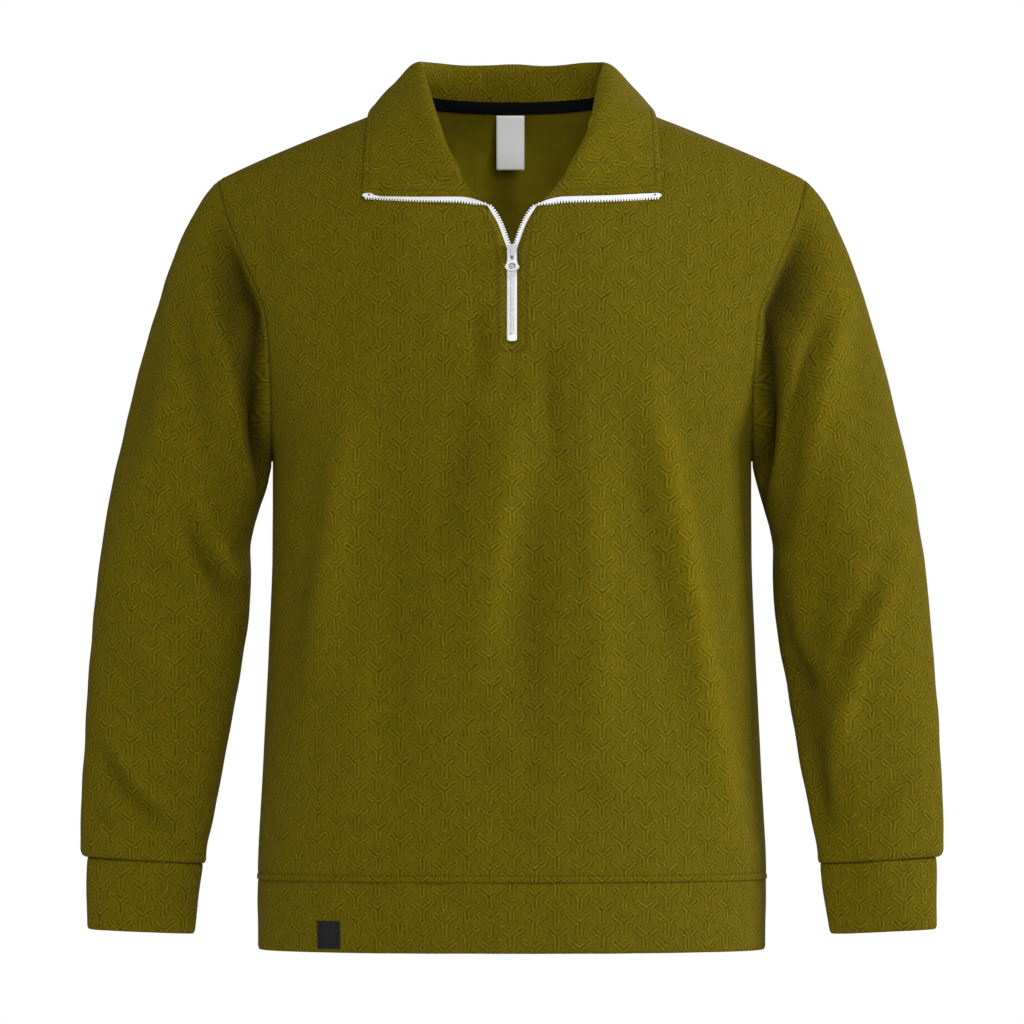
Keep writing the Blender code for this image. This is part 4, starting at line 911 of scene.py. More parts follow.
@dataclass(frozen=True)
class TrimFinish:
    """A woven trim: tape, label or patch."""

    name: str
    colour: tuple[float, float, float]
    weave: Weave
    roughness: float = 0.8
    pitch: float = 0.0009
    gloss: float = 0.12
    rib: float = 0.0025

    def build(self) -> Material:
        """The material, its weave read from cloth coordinates in metres."""
        material, s, shader = principled(self.name)
        cloth = s.add("UVMap", uv_map="cloth").outputs[0]
        u, v = s.add("SeparateXYZ", cloth).outputs[:2]
        if self.weave is Weave.HERRINGBONE:
            threads = s.waves(s.math("ADD", v, s.math("PINGPONG", u, self.rib)), self.pitch)
        else:
            threads = s.math("MULTIPLY", s.waves(u, self.pitch), s.waves(v, self.pitch))
        level = s.math("MULTIPLY_ADD", threads, 0.5, 0.5)
        grain = s.noise(cloth, 900.0, 3.0)
        worn = s.math("ADD", s.math("MULTIPLY", level, 0.6), s.math("MULTIPLY", grain, 0.4))
        s.fill(shader, {"Base Color": s.blend("MIX", worn, *dark_and_full(self.colour, 0.80)),
                        "Normal": s.bump(s.math("MULTIPLY", level, 0.00008)),
                        "Roughness": s.ramp(grain, [(0.3, self.roughness), (0.7, self.roughness * 0.85)], False),
                        "Specular IOR Level": self.gloss})
        return material


@dataclass(frozen=True)
class HardFinish:
    """Moulded or plated hardware, read from Object coordinates."""

    name: str
    colour: tuple[float, float, float]
    metallic: float
    roughness: float

    def build(self) -> Material:
        """The material, with faint handling marks in its gloss."""
        material, s, shader = principled(self.name)
        place = s.add("TexCoord").outputs["Object"]
        marks = s.noise(place, 700.0, 3.0)
        gloss = [(0.3, self.roughness * 0.8), (0.7, self.roughness * 1.25)]
        s.fill(shader, {"Roughness": s.ramp(marks, gloss, False), "Metallic": self.metallic,
                        "Base Color": s.blend("MIX", marks, *dark_and_full(self.colour, 0.92))})
        return material


@dataclass(frozen=True)
class Wardrobe:
    """All materials, built once."""

    jersey: Material
    leaf: Material
    # Inside of the cloth, lighter than the face: partly its own plain tone, partly painted light for the dim inside.
    wrong_side: Material
    thread: Material
    neck_tape: Material
    label: Material
    patch: Material
    zip_tape: Material
    teeth: Material
    silver: Material

    @classmethod
    def build(cls) -> "Wardrobe":
        """Builds the groups and every material."""
        knit = (ThreeArmPattern().group(), yarn_group(), seam_group())
        return cls(
            jersey=JerseyFinish("olive_jersey").build(*knit),
            # The collar leaf: the same jersey painted a little lighter, as more light falls on it.
            leaf=JerseyFinish("olive_leaf_painted_lighter", (0.118, 0.091, 0.0016)).build(*knit),
            # Wrong side: lighter than the face, partly its own plain tone and partly painted light for the dim
            # inside of the neck.
            wrong_side=JerseyFinish("olive_wrong_side", (0.235, 0.187, 0.0065), relief=0.0).build(*knit),
            thread=TrimFinish("olive_thread", (0.105, 0.085, 0.008), Weave.PLAIN, 0.7, 0.0005).build(),
            neck_tape=TrimFinish("black_tape", (0.0022, 0.0022, 0.0026), Weave.HERRINGBONE, gloss=0.05).build(),
            label=TrimFinish("white_label", (0.98, 0.98, 0.98), Weave.PLAIN, 0.55, 0.0005).build(),
            patch=TrimFinish("charcoal_twill", (0.013, 0.013, 0.014), Weave.HERRINGBONE, 0.7, 0.0008).build(),
            zip_tape=TrimFinish("white_zip_tape", (0.80, 0.80, 0.80), Weave.HERRINGBONE, 0.75, 0.0007).build(),
            teeth=HardFinish("white_teeth", (0.82, 0.82, 0.83), 0.0, 0.32).build(),
            silver=HardFinish("silver_metal", (0.40, 0.40, 0.41), 0.60, 0.44).build())


# ---------------------------------------------------------------- body panels

@dataclass
class BodyPanel:
    """Front or back of the body: two mirrored half grids that share the middle line below the neck."""

    side: Side
    wardrobe: Wardrobe
    neck_rows: int
    fine: int = 4
    columns: int = 56
    arm_rows: int = 17
    roll_height: float = 0.0006
    roll_width: float = 0.0052
    hem_stitch: float = 0.0056
    placket_middle: float = 0.0006
    placket_foot: float = -0.2104
    placket: Table = Table("height half_width", [
        (-0.2104, 0.0115), (-0.1500, 0.0115), (-0.1250, 0.0136), (-0.1105, 0.0160), (-0.1040, 0.0190),
        (-0.0960, 0.0245), (-0.0861, 0.0330)])

    def low_heights(self) -> Array:
        """Heights of the rows below the armpit, crowded at the roll over the hem seam."""
        roll = FORM.seam + np.array([0, 0.6, 1.3, 2.0, 2.7, 3.4, 4.1, 4.7, 5.2, 5.7, 6.3, 7.3, 9.0]) * 0.001
        rest = np.linspace(roll[-1], FORM.armpit, 84)[1:-1]
        return np.concatenate([roll, rest])

    def inner_path(self) -> tuple[Array, Array, int]:
        """The half's inner side from the armpit's height up.

        Returns:
            Across and height along the middle line, the slit and the neck seam, and how many of these points lie
            on the middle line.
        """
        if self.side is Side.FRONT:
            slits = len(FORM.slit_heights)
            middle = np.linspace(FORM.armpit, FORM.slit_foot,
                                 (self.arm_rows - slits - self.neck_rows) * self.fine + 1)
            knots = np.array([FORM.slit_foot, *FORM.slit_heights])
            slit = np.interp(np.arange(1, slits * self.fine + 1) / self.fine, np.arange(slits + 1), knots)
            start = FORM.slit_heights[0]
            foot_half = FORM.front_edge.rows[0, 1]
            opening = np.where(slit < start, foot_half * (slit - FORM.slit_foot) / (start - FORM.slit_foot),
                               FORM.front_edge.at("across", slit))
            heights = cosine_steps(FORM.slit_heights[-1], FORM.front_edge.rows[-1, 0])
            path = FORM.on_form(FORM.front_edge.at("across", heights), heights, self.side)
        else:
            middle = np.linspace(FORM.armpit, FORM.back_neck.rows[0, 1],
                                 (self.arm_rows - self.neck_rows) * self.fine + 1)
            slit, opening = np.zeros(0), np.zeros(0)
            across = cosine_steps(0.0, FORM.back_neck.rows[-1, 0])
            path = FORM.on_form(across, FORM.back_neck.at("height", across), self.side)
        neck = even_points(path, self.neck_rows * self.fine)[1:]
        return (np.concatenate([0 * middle, opening, neck[:, 0]]), np.concatenate([middle, slit, neck[:, 2]]),
                len(middle))

    def half_grid(self) -> tuple[Array, int]:
        """Points of the half with x above zero, rows from the hem up, columns from the middle out.

        Along a row the section angle runs evenly. Low rows are level; high rows keep their drop below the
        shoulder line between their two ends.

        Returns:
            The grid and the number of rows that start on the middle line.
        """
        low = self.low_heights()
        inner_x, inner_z, on_middle = self.inner_path()
        arm = FORM.armhole_path(self.side, self.arm_rows * self.fine)
        step = np.concatenate([0 * low, np.arange(len(arm)) / self.fine])[:, None]
        inner_x = np.concatenate([0 * low, inner_x])[:, None]
        inner_z = np.concatenate([low, inner_z])[:, None]
        outer_x = np.concatenate([FORM.sizes.at("half_width", low), arm[:, 0]])[:, None]
        outer_z = np.concatenate([low, arm[:, 2]])[:, None]
        along = np.linspace(0, 1, self.columns + 1)[None, :]
        turn_in = np.arcsin(np.clip(inner_x / FORM.sizes.at("half_width", inner_z), 0, 1))
        turn_out = np.arcsin(np.clip(outer_x / FORM.sizes.at("half_width", outer_z), 0, 1))
        turn = turn_in + (turn_out - turn_in) * along
        level = inner_z + (outer_z - inner_z) * along
        drop_in = FORM.shoulder.at("height", inner_x) - inner_z
        drop_out = FORM.shoulder.at("height", outer_x) - outer_z
        drop = drop_in + (drop_out - drop_in) * along
        slope = ease(step, 0.0, self.arm_rows * 0.7)
        height = level
        for _ in range(4):
            across = FORM.sizes.at("half_width", height) * np.sin(turn)
            height = (1 - slope) * level + slope * (FORM.shoulder.at("height", across) - drop)
        grid = FORM.on_form(across, height, self.side)
        grid[:, -1, 1] = np.concatenate([FORM.sizes.at("middle", low), arm[:, 1]])
        return grid, len(low) + on_middle

    def skin(self) -> tuple[Skin, Array, Array]:
        """The panel's skin with creases, seam grooves and the roll over the hem seam, and its two index grids."""
        half, joined = self.half_grid()
        rows, columns = half.shape[:2]
        index_a = plain_index(rows, columns)
        index_b = index_a + rows * columns
        index_b[:joined, 0] = index_a[:joined, 0]
        points = np.concatenate([half.reshape(-1, 3), (half * MIRROR).reshape(-1, 3)])
        back = self.side is Side.BACK
        quads = np.concatenate([grid_quads(index_a, back), grid_quads(index_b, not back)])
        used, packed = np.unique(quads, return_inverse=True)
        place = np.full(len(points), -1)
        place[used] = np.arange(len(used))
        index_a, index_b = place[index_a], place[index_b]
        middle = (np.arange(rows)[:, None] < joined) & (np.arange(columns)[None, :] == 0)
        flat = flatten(half, FORM.cloth_map(half, self.side), middle)
        cloth = np.zeros((len(used), 2))
        cloth[index_b] = flat * np.array([-1.0, 1.0])
        cloth[index_a] = flat
        skin = Skin(points[used], packed.reshape(-1, 4), cloth).settle()
        to_side = running_length(half[:, ::-1], axis=1)[:, ::-1]
        to_neck = running_length(half, axis=1)
        to_top = running_length(half[::-1], axis=0)[::-1]
        lift = half[..., 2] - FORM.seam
        fade = np.where(np.arange(rows)[:, None] >= joined, ease(to_neck, 0.002, 0.022), 1.0)
        fade = fade * ease(to_side, 0.0, 0.030) * ease(to_top, 0.0, 0.040) * ease(lift, 0.004, 0.035)
        over_stitch = lift - self.hem_stitch
        roll = self.roll_height * np.sin(math.pi * np.clip(lift / self.roll_width, 0, 1)) ** 0.7
        roll = roll - 0.0003 * bell(over_stitch, 0.0007)
        to_edge = np.minimum(to_side, to_top)
        groove = -SEAM_DIP * bell(to_edge, SEAM_REACH) * ease(lift, 0.0, 0.004)
        seam = np.minimum(to_edge, np.minimum(np.abs(lift), np.abs(over_stitch)))
        relief = CREASES.relief(skin.points, self.side)
        distance, skin.fold = np.zeros(len(used)), np.zeros(len(used))
        skin.seam, skin.stitch = np.ones(len(used)), np.ones(len(used))
        for index, hand in ((index_a, 1.0), (index_b, -1.0)):
            x, z = half[..., 0] * hand, half[..., 2]
            distance[index] = (relief[index] + ripple(skin.points[index])) * fade + roll + groove
            skin.seam[index] = seam
            # Crease heights, from which the finish paints shade into troughs and highlight onto ridges.
            skin.fold[index] = relief[index] * fade / FOLD_UNIT
            if self.side is Side.FRONT:
                aside = np.abs(x - self.placket_middle) - self.placket.at("half_width", z)
                skin.stitch[index] = np.maximum(aside, self.placket_foot - z)
        return skin.push(distance), index_a, index_b

    def build(self, skin: Skin) -> None:
        """Makes the panel's shell."""
        name = "front" if self.side is Side.FRONT else "back"
        thing = shell(name + "_cloth", skin, WALL, (self.wardrobe.jersey, self.wardrobe.wrong_side))
        dress(thing, [name])


# ---------------------------------------------------------------- sleeves, cuffs, hem band

def ring(outer: Array, inner: Array, half_depth: Array, middle: Array, around: int) -> Array:
    """Ellipses round the lines from inner to outer ends: centre - reach cos t, middle + half_depth sin t.

    Args:
        outer: (x, z) of each ring's outer end.
        inner: (x, z) of each ring's inner end.
        half_depth: half of each ring's depth.
        middle: y of each ring's middle.
        around: points on a ring.

    Returns:
        Grid of points, rings by points; a ring starts at its inner end and runs round the back first.
    """
    angle = whole_turn(around)[None, :]
    centre, reach = (outer + inner) / 2, (outer - inner) / 2
    across = centre[:, :1] - reach[:, :1] * np.cos(angle)
    height = centre[:, 1:] - reach[:, 1:] * np.cos(angle)
    return pack(across, middle[:, None] + half_depth[:, None] * np.sin(angle), height)


@dataclass
class Sleeve:
    """One sleeve: rings that follow the armhole at first and forget it down the arm."""

    hand: Hand
    wardrobe: Wardrobe
    around: int = 136
    rings: int = 126
    memory: float = 0.42
    valley_depth: float = 0.020
    valley_reach: float = 0.058
    # Strength of the painted shade in the valley between sleeve and body.
    painted_valley_shade: float = 2.8
    outline: Table = Table("height outer", [
        (-0.6305, 0.3562), (-0.6290, 0.3583), (-0.6235, 0.3600), (-0.5920, 0.3596), (-0.5417, 0.3574),
        (-0.4748, 0.3532), (-0.4080, 0.3474), (-0.3411, 0.3381), (-0.2742, 0.3240), (-0.2073, 0.3072),
        (-0.1572, 0.2922), (-0.1070, 0.2730), (-0.0820, 0.2595), (-0.0652, 0.2460)])
    inline: Table = Table("height inner", [
        (-0.6360, 0.2564), (-0.6335, 0.2552), (-0.6253, 0.2546), (-0.5920, 0.2479), (-0.5250, 0.2353),
        (-0.4580, 0.2240), (-0.4247, 0.2190), (-0.3910, 0.2178), (-0.3745, 0.2181), (-0.3578, 0.2158),
        (-0.3410, 0.2110), (-0.3244, 0.2058), (-0.3100, 0.2022), (-0.3010, 0.2002)])
    sizes: Table = Table("along outer_height inner_height half_depth middle", [
        (0.000, -0.0652, -0.3010, 0.0570, 0.003), (0.100, -0.1150, -0.3030, 0.0600, 0.003),
        (0.220, -0.1800, -0.3070, 0.0615, 0.002), (0.340, -0.2480, -0.3170, 0.0600, 0.000),
        (0.450, -0.3130, -0.3420, 0.0560, -0.001), (0.560, -0.3790, -0.3850, 0.0510, -0.003),
        (0.680, -0.4520, -0.4590, 0.0450, -0.007), (0.800, -0.5260, -0.5340, 0.0380, -0.012),
        (0.900, -0.5870, -0.5950, 0.0295, -0.017), (0.960, -0.6150, -0.6230, 0.0252, -0.020),
        (0.988, -0.6265, -0.6325, 0.0243, -0.021), (1.000, -0.6305, -0.6360, 0.0234, -0.021)])

    def skin(self) -> tuple[Skin, Array]:
        """The sleeve's skin with its creases, turned for its hand, and its armhole ring's point numbers."""
        steps = np.concatenate([np.linspace(0, 0.96, self.rings), np.linspace(0.96, 1.0, 9)[1:]])
        outer_z, inner_z = self.sizes.at("outer_height", steps), self.sizes.at("inner_height", steps)
        outer = pack(self.outline.at("outer", outer_z), outer_z)
        inner = pack(self.inline.at("inner", inner_z), inner_z)
        grid = ring(outer, inner, self.sizes.at("half_depth", steps), self.sizes.at("middle", steps), self.around)
        front = FORM.armhole_path(Side.FRONT, self.around // 2)
        back = FORM.armhole_path(Side.BACK, self.around // 2)
        armhole = np.concatenate([back, front[::-1][1:-1]])
        memory = (1 - ease(steps, 0.0, self.memory))[:, None, None]
        grid = (grid + memory * (armhole - grid[0])) * np.array([self.hand.value, 1.0, 1.0])
        skin = tube_skin(grid, self.hand.value, self.hand is Hand.RIGHT)
        angle = whole_turn(self.around)[None, :]
        to_armhole = running_length(grid)
        to_cuff = running_length(grid[::-1])[::-1]
        fade = ease(to_armhole, 0.0, 0.030) * ease(to_cuff, 0.004, 0.030)
        relief = ripple(grid)
        for side in Side:
            relief = relief + CREASES.relief(grid, side) * ease(side.value * np.sin(angle), 0.0, 0.5)
        drop = grid[:1, :, 2]
        valley = ease(-drop, 0.070, 0.150) * ease(np.abs(np.sin(angle)), 0.02, 0.45)
        valley = valley * ease(to_armhole, 0.0, 0.010) * (1 - ease(to_armhole, 0.010, self.valley_reach))
        groove = (-SEAM_DIP * bell(to_armhole, SEAM_REACH) - 0.0003 * bell(to_cuff, 0.0012)
                  - self.valley_depth * valley)
        skin.seam = np.minimum(to_armhole, to_cuff).reshape(-1)
        # Crease heights, less painted shade in the valley beside the armhole.
        skin.fold = (relief * fade / FOLD_UNIT - self.painted_valley_shade * valley).reshape(-1)
        skin.push(relief * fade + groove)
        return skin, np.arange(self.around)

    def build(self, skin: Skin) -> None:
        """Makes the sleeve's shell."""
        name = "sleeve_left" if self.hand is Hand.LEFT else "sleeve_right"
        thing = shell(name + "_cloth", skin, WALL, (self.wardrobe.jersey, self.wardrobe.wrong_side))
        dress(thing, [name])


def join_body(front: tuple[Skin, Array, Array], back: tuple[Skin, Array, Array],
              sleeves: dict[Hand, tuple[Skin, Array]], low_rows: int) -> None:
    """Brings front, back and sleeves together along their seams.

    Args:
        front: skin and index grids of the front.
        back: skin and index grids of the back.
        sleeves: skin and armhole ring of each sleeve.
        low_rows: rows below the armpit.
    """
    for hand, half in ((Hand.LEFT, 1), (Hand.RIGHT, 2)):
        f, b = front[half], back[half]
        sleeve, hole = sleeves[hand]
        top = len(f) - low_rows
        marry((front[0], f[-1]), (back[0], b[-1]))
        marry((front[0], f[:low_rows, -1]), (back[0], b[:low_rows, -1]))
        marry((back[0], b[low_rows + 1:-1, -1]), (sleeve, hole[1:top - 1]))
        marry((front[0], f[low_rows + 1:-1, -1][::-1]), (sleeve, hole[top:]))
        for row, spot in ((low_rows, 0), (-1, top - 1)):
            marry((front[0], f[row, -1:]), (back[0], b[row, -1:]), (sleeve, hole[spot:spot + 1]))


@dataclass
class Cuff:
    """One doubled cuff, a short tube."""

    hand: Hand
    wardrobe: Wardrobe
    around: int = 136
    rings: int = 22
    sizes: Table = Table(
        "along outer outer_height inner inner_height half_depth middle", [
        (0.00, 0.3543, -0.6311, 0.2572, -0.6366, 0.0229, -0.021),
        (0.50, 0.3549, -0.6630, 0.2612, -0.6675, 0.0212, -0.022),
        (1.00, 0.3543, -0.6903, 0.2653, -0.6943, 0.0190, -0.024)])

    def build(self) -> None:
        """Makes the cuff's shell, slightly pulled in at its seam and folded round at its end."""
        steps = np.linspace(0, 1, self.rings)
        outer = pack(self.sizes.at("outer", steps), self.sizes.at("outer_height", steps))
        inner = pack(self.sizes.at("inner", steps), self.sizes.at("inner_height", steps))
        grid = ring(outer, inner, self.sizes.at("half_depth", steps), self.sizes.at("middle", steps), self.around)
        grid = grid * np.array([self.hand.value, 1.0, 1.0])
        skin = tube_skin(grid, self.hand.value, self.hand is Hand.RIGHT)
        angle = whole_turn(self.around)[None, :]
        wave = 0.0006 * np.sin(3 * angle + 2.0 * steps[:, None] + self.hand.value) * ease(steps, 0.0, 0.4)[:, None]
        to_seam, to_end = running_length(grid), running_length(grid[::-1])[::-1]
        skin.seam = to_seam.reshape(-1)
        skin.push(wave + ripple(grid) - 0.0003 * bell(to_seam, 0.0012) - 0.0010 * bell(to_end, 0.0012))
        name = "cuff_left" if self.hand is Hand.LEFT else "cuff_right"
        thing = shell(name + "_cloth", skin, DOUBLE_WALL, (self.wardrobe.jersey,), 0.35)
        dress(thing, [name])


@dataclass
class HemBand:
    """The doubled band round the lower edge."""

    wardrobe: Wardrobe
    around: int = 224
    rings: int = 24

    def build(self) -> None:
        """Makes the band's shell: level sections of the torso form, pulled in a little, from the middle back on."""
        heights = np.linspace(FORM.seam - GAP, FORM.hem, self.rings)[:, None]
        turn = whole_turn(self.around)[None, :] + math.pi
        step = 0.0009 * smooth(np.linspace(0, 1, self.rings), np.array([0, 0.33, 0.66, 1.0]),
                               np.array([0.2, 0.4, 0.8, 1.0]))[:, None]
        across = (FORM.sizes.at("half_width", heights) - step) * np.sin(turn)
        section = (1 - np.abs(np.sin(turn)) ** FORM.power) ** (1 / FORM.root)
        front = np.cos(turn) > 0
        depth = np.where(front, -FORM.sizes.at("front_depth", heights), FORM.sizes.at("back_depth", heights))
        grid = pack(across, (depth + step * np.where(front, 1, -1)) * section, heights + 0 * across)
        skin = tube_skin(grid, 1, True)
        skin.cloth = skin.cloth + np.array([0.0, FORM.hem - FORM.armpit])
        drop = FORM.seam - heights + 0 * across
        wave = 0.0007 * np.sin(5 * turn + 0.7) * ease(drop, 0.0, 0.03) * np.sin(2 * turn + 9 * drop)
        to_end = heights - FORM.hem
        skin.push(wave + ripple(grid) * 0.8 - 0.0003 * bell(drop, 0.0010) - 0.0009 * bell(to_end, 0.0013))
        thing = shell("hem_band_cloth", skin, DOUBLE_WALL, (self.wardrobe.jersey,), 0.35)
        dress(thing, ["hem_band"])


# ---------------------------------------------------------------- collar and neck trims

def edge_frame(skin: Skin, edge: Array, next_column: Array) -> tuple[Array, Array, Array]:
    """Places, normals and directions off a skin along one of its edges.

    Args:
        skin: the skin.
        edge: point numbers along the edge.
        next_column: point numbers one column in.

    Returns:
        Places, normals and the unit directions in the skin, square to the edge, off it.
    """
    points, normals = skin.points[edge], skin.normals[edge]
    along = unit(np.gradient(points, axis=0))
    away = points - skin.points[next_column]
    return points, normals, unit(square_to(square_to(away, along), normals))


@dataclass
class Collar:
    """The turned-down collar: stand, roll and fall, from the zip round the neck to the other side of the zip."""

    wardrobe: Wardrobe
    front: Skin
    front_index: Array
    back: Skin
    back_index: Array
    fine: int = 5
    shares: tuple[float, ...] = (0.0, 0.03, 0.06, 0.14, 0.55, 1.0)
    end_bow: tuple[float, ...] = (0.0, 0.0011, 0.0020, 0.0034, 0.0012, 0.0)
    steps: tuple[int, ...] = (3, 2, 2, 3, 3)
    lift: float = 0.0042
    stitch_inset: float = 0.0052
    join_left: float = 0.0464
    join_right: float = -0.0405
    join_reach: float = 0.0105
    sizes: Table = Table(
        "along roll_x roll_y roll_z roll_width edge_x edge_y edge_z right_in left_up", [
            (0.00, 0.0245, -0.0877, -0.0846, 0.006, 0.1245, -0.0715, -0.0792, 0.0000, 0.0030),
            (0.14, 0.0385, -0.0820, -0.0685, 0.006, 0.1238, -0.0625, -0.0635, 0.0010, 0.0024),
            (0.29, 0.0492, -0.0775, -0.0525, 0.007, 0.1230, -0.0525, -0.0483, 0.0034, 0.0012),
            (0.43, 0.0574, -0.0690, -0.0370, 0.008, 0.1223, -0.0415, -0.0345, 0.0036, 0.0000),
            (0.57, 0.0632, -0.0560, -0.0200, 0.009, 0.1218, -0.0290, -0.0220, 0.0036, 0.0000),
            (0.71, 0.0678, -0.0390, -0.0030, 0.010, 0.1211, -0.0151, -0.0124, 0.0028, 0.0000),
            (0.86, 0.0716, -0.0190, 0.0135, 0.009, 0.1201, 0.0010, -0.0075, 0.0014, 0.0000),
            (1.00, 0.0765, 0.0050, 0.0328, 0.005, 0.1180, 0.0150, -0.0052, 0.0000, 0.0000),
            (1.20, 0.0752, 0.0330, 0.0342, 0.007, 0.1090, 0.0465, -0.0028, 0.0000, 0.0000),
            (1.40, 0.0641, 0.0510, 0.0340, 0.010, 0.0890, 0.0665, -0.0075, 0.0000, 0.0000),
            (1.60, 0.0467, 0.0610, 0.0339, 0.010, 0.0630, 0.0725, -0.0130, 0.0000, 0.0000),
            (1.80, 0.0243, 0.0665, 0.0334, 0.010, 0.0323, 0.0760, -0.0153, 0.0000, 0.0000),
            (2.00, 0.0000, 0.0680, 0.0330, 0.010, 0.0000, 0.0775, -0.0160, 0.0000, 0.0000)])

    @property
    def crest(self) -> int:
        """Column of the roll's crest."""
        return sum(self.steps[:2]) * self.fine

    def stations(self, hand: Hand) -> tuple[Array, Array, Array]:
        """Control points of one side's profiles, laid out with x above zero, from the zip to the middle back.

        A profile runs up the stand from the neck seam, over the roll and down the fall. Beside the zip the fall
        starts on the front, so there the profile is a bowed line of shares, and it rises slowly into the roll.

        Returns:
            Control points, start normals, and how far each profile has risen.
        """
        front_rows, back_rows = self.front_index, self.back_index
        frames = [edge_frame(self.front, front_rows[:, 0], front_rows[:, 1]),
                  edge_frame(self.back, back_rows[:, 0], back_rows[:, 1])]
        seam, normal, away = (np.concatenate(parts) for parts in zip(*frames))
        away[-1] = unit(away[-1] * np.array([0.0, 1.0, 1.0]))
        along = np.concatenate([np.linspace(0, 1, len(front_rows)),
                                1 + np.linspace(0, 1, len(back_rows) + 1)[1:]])
        roll = pack(*(self.sizes.at(name, along) for name in ("roll_x", "roll_y", "roll_z")))
        if hand is Hand.RIGHT:
            roll[:, 0] -= self.sizes.at("right_in", along)
        edge = pack(*(self.sizes.at(name, along) for name in ("edge_x", "edge_y", "edge_z")))
        if hand is Hand.LEFT:
            edge[:, 2] += self.sizes.at("left_up", along)
        half = self.sizes.at("roll_width", along)[:, None] / 2
        tangent = unit(np.gradient(roll, axis=0))
        tangent[-1] = (-1.0, 0.0, 0.0)
        apex = roll - (seam + edge) / 2
        apex = unit(square_to(apex, tangent))
        over = np.cross(tangent, apex)
        roll_in, roll_out = roll - (apex + over) * half, roll - (apex - over) * half
        stand = unit(roll_in - seam)
        inward = unit(square_to(away, stand))
        start = seam + away * GAP + inward * DOUBLE_WALL + stand * GAP
        standing = np.stack([start, roll_in, roll, roll_out, (roll_out + edge) / 2 + over * 0.002, edge], axis=1)
        flat = (seam + normal * (2 * GAP + DOUBLE_WALL))[:, None, :]
        lying = flat + (edge[:, None, :] - flat) * np.array(self.shares)[None, :, None]
        lying[..., 2] += np.array(self.end_bow)
        risen = ease(along, 0.02, 0.26)[:, None]
        return (lying * (1 - risen[..., None]) + standing * risen[..., None],
                unit(normal * (1 - risen) + inward * risen), risen)

    def half_grid(self, controls: Array, risen: Array) -> Array:
        """Grid of half of the collar: a smooth curve by chord length through each profile's control points."""
        grid = []
        for profile in controls:
            length = running_length(profile)
            stops = [np.linspace(a, b, n * self.fine, endpoint=False)
                     for a, b, n in zip(length[:-1], length[1:], self.steps)]
            stops = np.concatenate(stops + [length[-1:]])
            grid.append(read_path(stops, length, profile, smooth))
        grid = np.array(grid)
        front = (np.arange(len(grid)) < len(self.front_index))[:, None]
        x, y, z = np.moveaxis(grid, -1, 0)
        rolled = ease(np.arange(grid.shape[1], dtype=float)[None, :], self.crest - 5, self.crest + 1)
        weight = ease(FORM.shoulder.at("height", np.abs(x)) - z, -0.001, 0.006) * np.maximum(rolled, 1 - risen)
        ahead = np.minimum(y, FORM.depth(x, z, Side.FRONT) - self.lift)
        behind = np.maximum(y, FORM.depth(x, z, Side.BACK) + self.lift)
        grid[..., 1] = y + weight * (np.where(front, ahead, behind) - y)
        return grid

    def skin(self) -> tuple[Skin, Array]:
        """The collar's skin with its stitch grooves, and its index grid, from one zip end to the other."""
        left, right = (self.stations(hand) for hand in Hand)
        half, other = (self.half_grid(controls, risen) for controls, _, risen in (left, right))
        start_normal = np.concatenate([left[1], right[1][-2::-1] * MIRROR])
        grid = np.concatenate([half, other[-2::-1] * MIRROR])
        index = plain_index(*grid.shape[:2])
        opened = half[::-1]
        guess = pack(running_length(opened)[:, self.crest:self.crest + 1] + 0 * opened[..., 0],
                     running_length(opened, axis=1))
        flat = flatten(opened, guess, np.arange(len(half))[:, None] + 0 * index[:len(half)] == 0)
        skin = Skin(grid.reshape(-1, 3), grid_quads(index),
                    np.concatenate([flat[::-1], flat[1:] * np.array([-1.0, 1.0])]).reshape(-1, 2)).settle()
        skin.normals[index[:, 0]] = start_normal
        to_edge = running_length(grid[:, ::-1], axis=1)[:, ::-1]
        ends = np.minimum(running_length(grid), running_length(grid[::-1])[::-1])
        x = grid[..., 0]
        to_join = np.abs(x - np.where(x > 0, self.join_left, self.join_right))
        facing = np.where(ends < self.join_reach, to_join, 1.0)
        outer = np.minimum(to_edge, ends) - self.stitch_inset
        skin.seam, skin.stitch = facing.reshape(-1), outer.reshape(-1)
        away = ease(running_length(grid, axis=1), 0.004, 0.020)
        wave = 0.0007 * np.sin(x * 95 + grid[..., 2] * 60) * ease(to_edge, 0.004, 0.03) + 0.6 * ripple(grid)
        relief = (-0.0005 * bell(outer, 0.0012) - 0.0009 * bell(np.minimum(to_edge, ends), 0.0012)
                  + wave * away * ease(ends, 0.0, 0.03))
        skin.push(relief * ease(running_length(grid, axis=1), 0.0, 0.004))
        skin.normals[index[:, 0]] = start_normal
        return skin, index

    def build(self, skin: Skin) -> None:
        """Makes the collar's shell."""
        thing = shell("collar_cloth", skin, DOUBLE_WALL, (self.wardrobe.leaf,), 0.25)
        dress(thing, ["collar"])


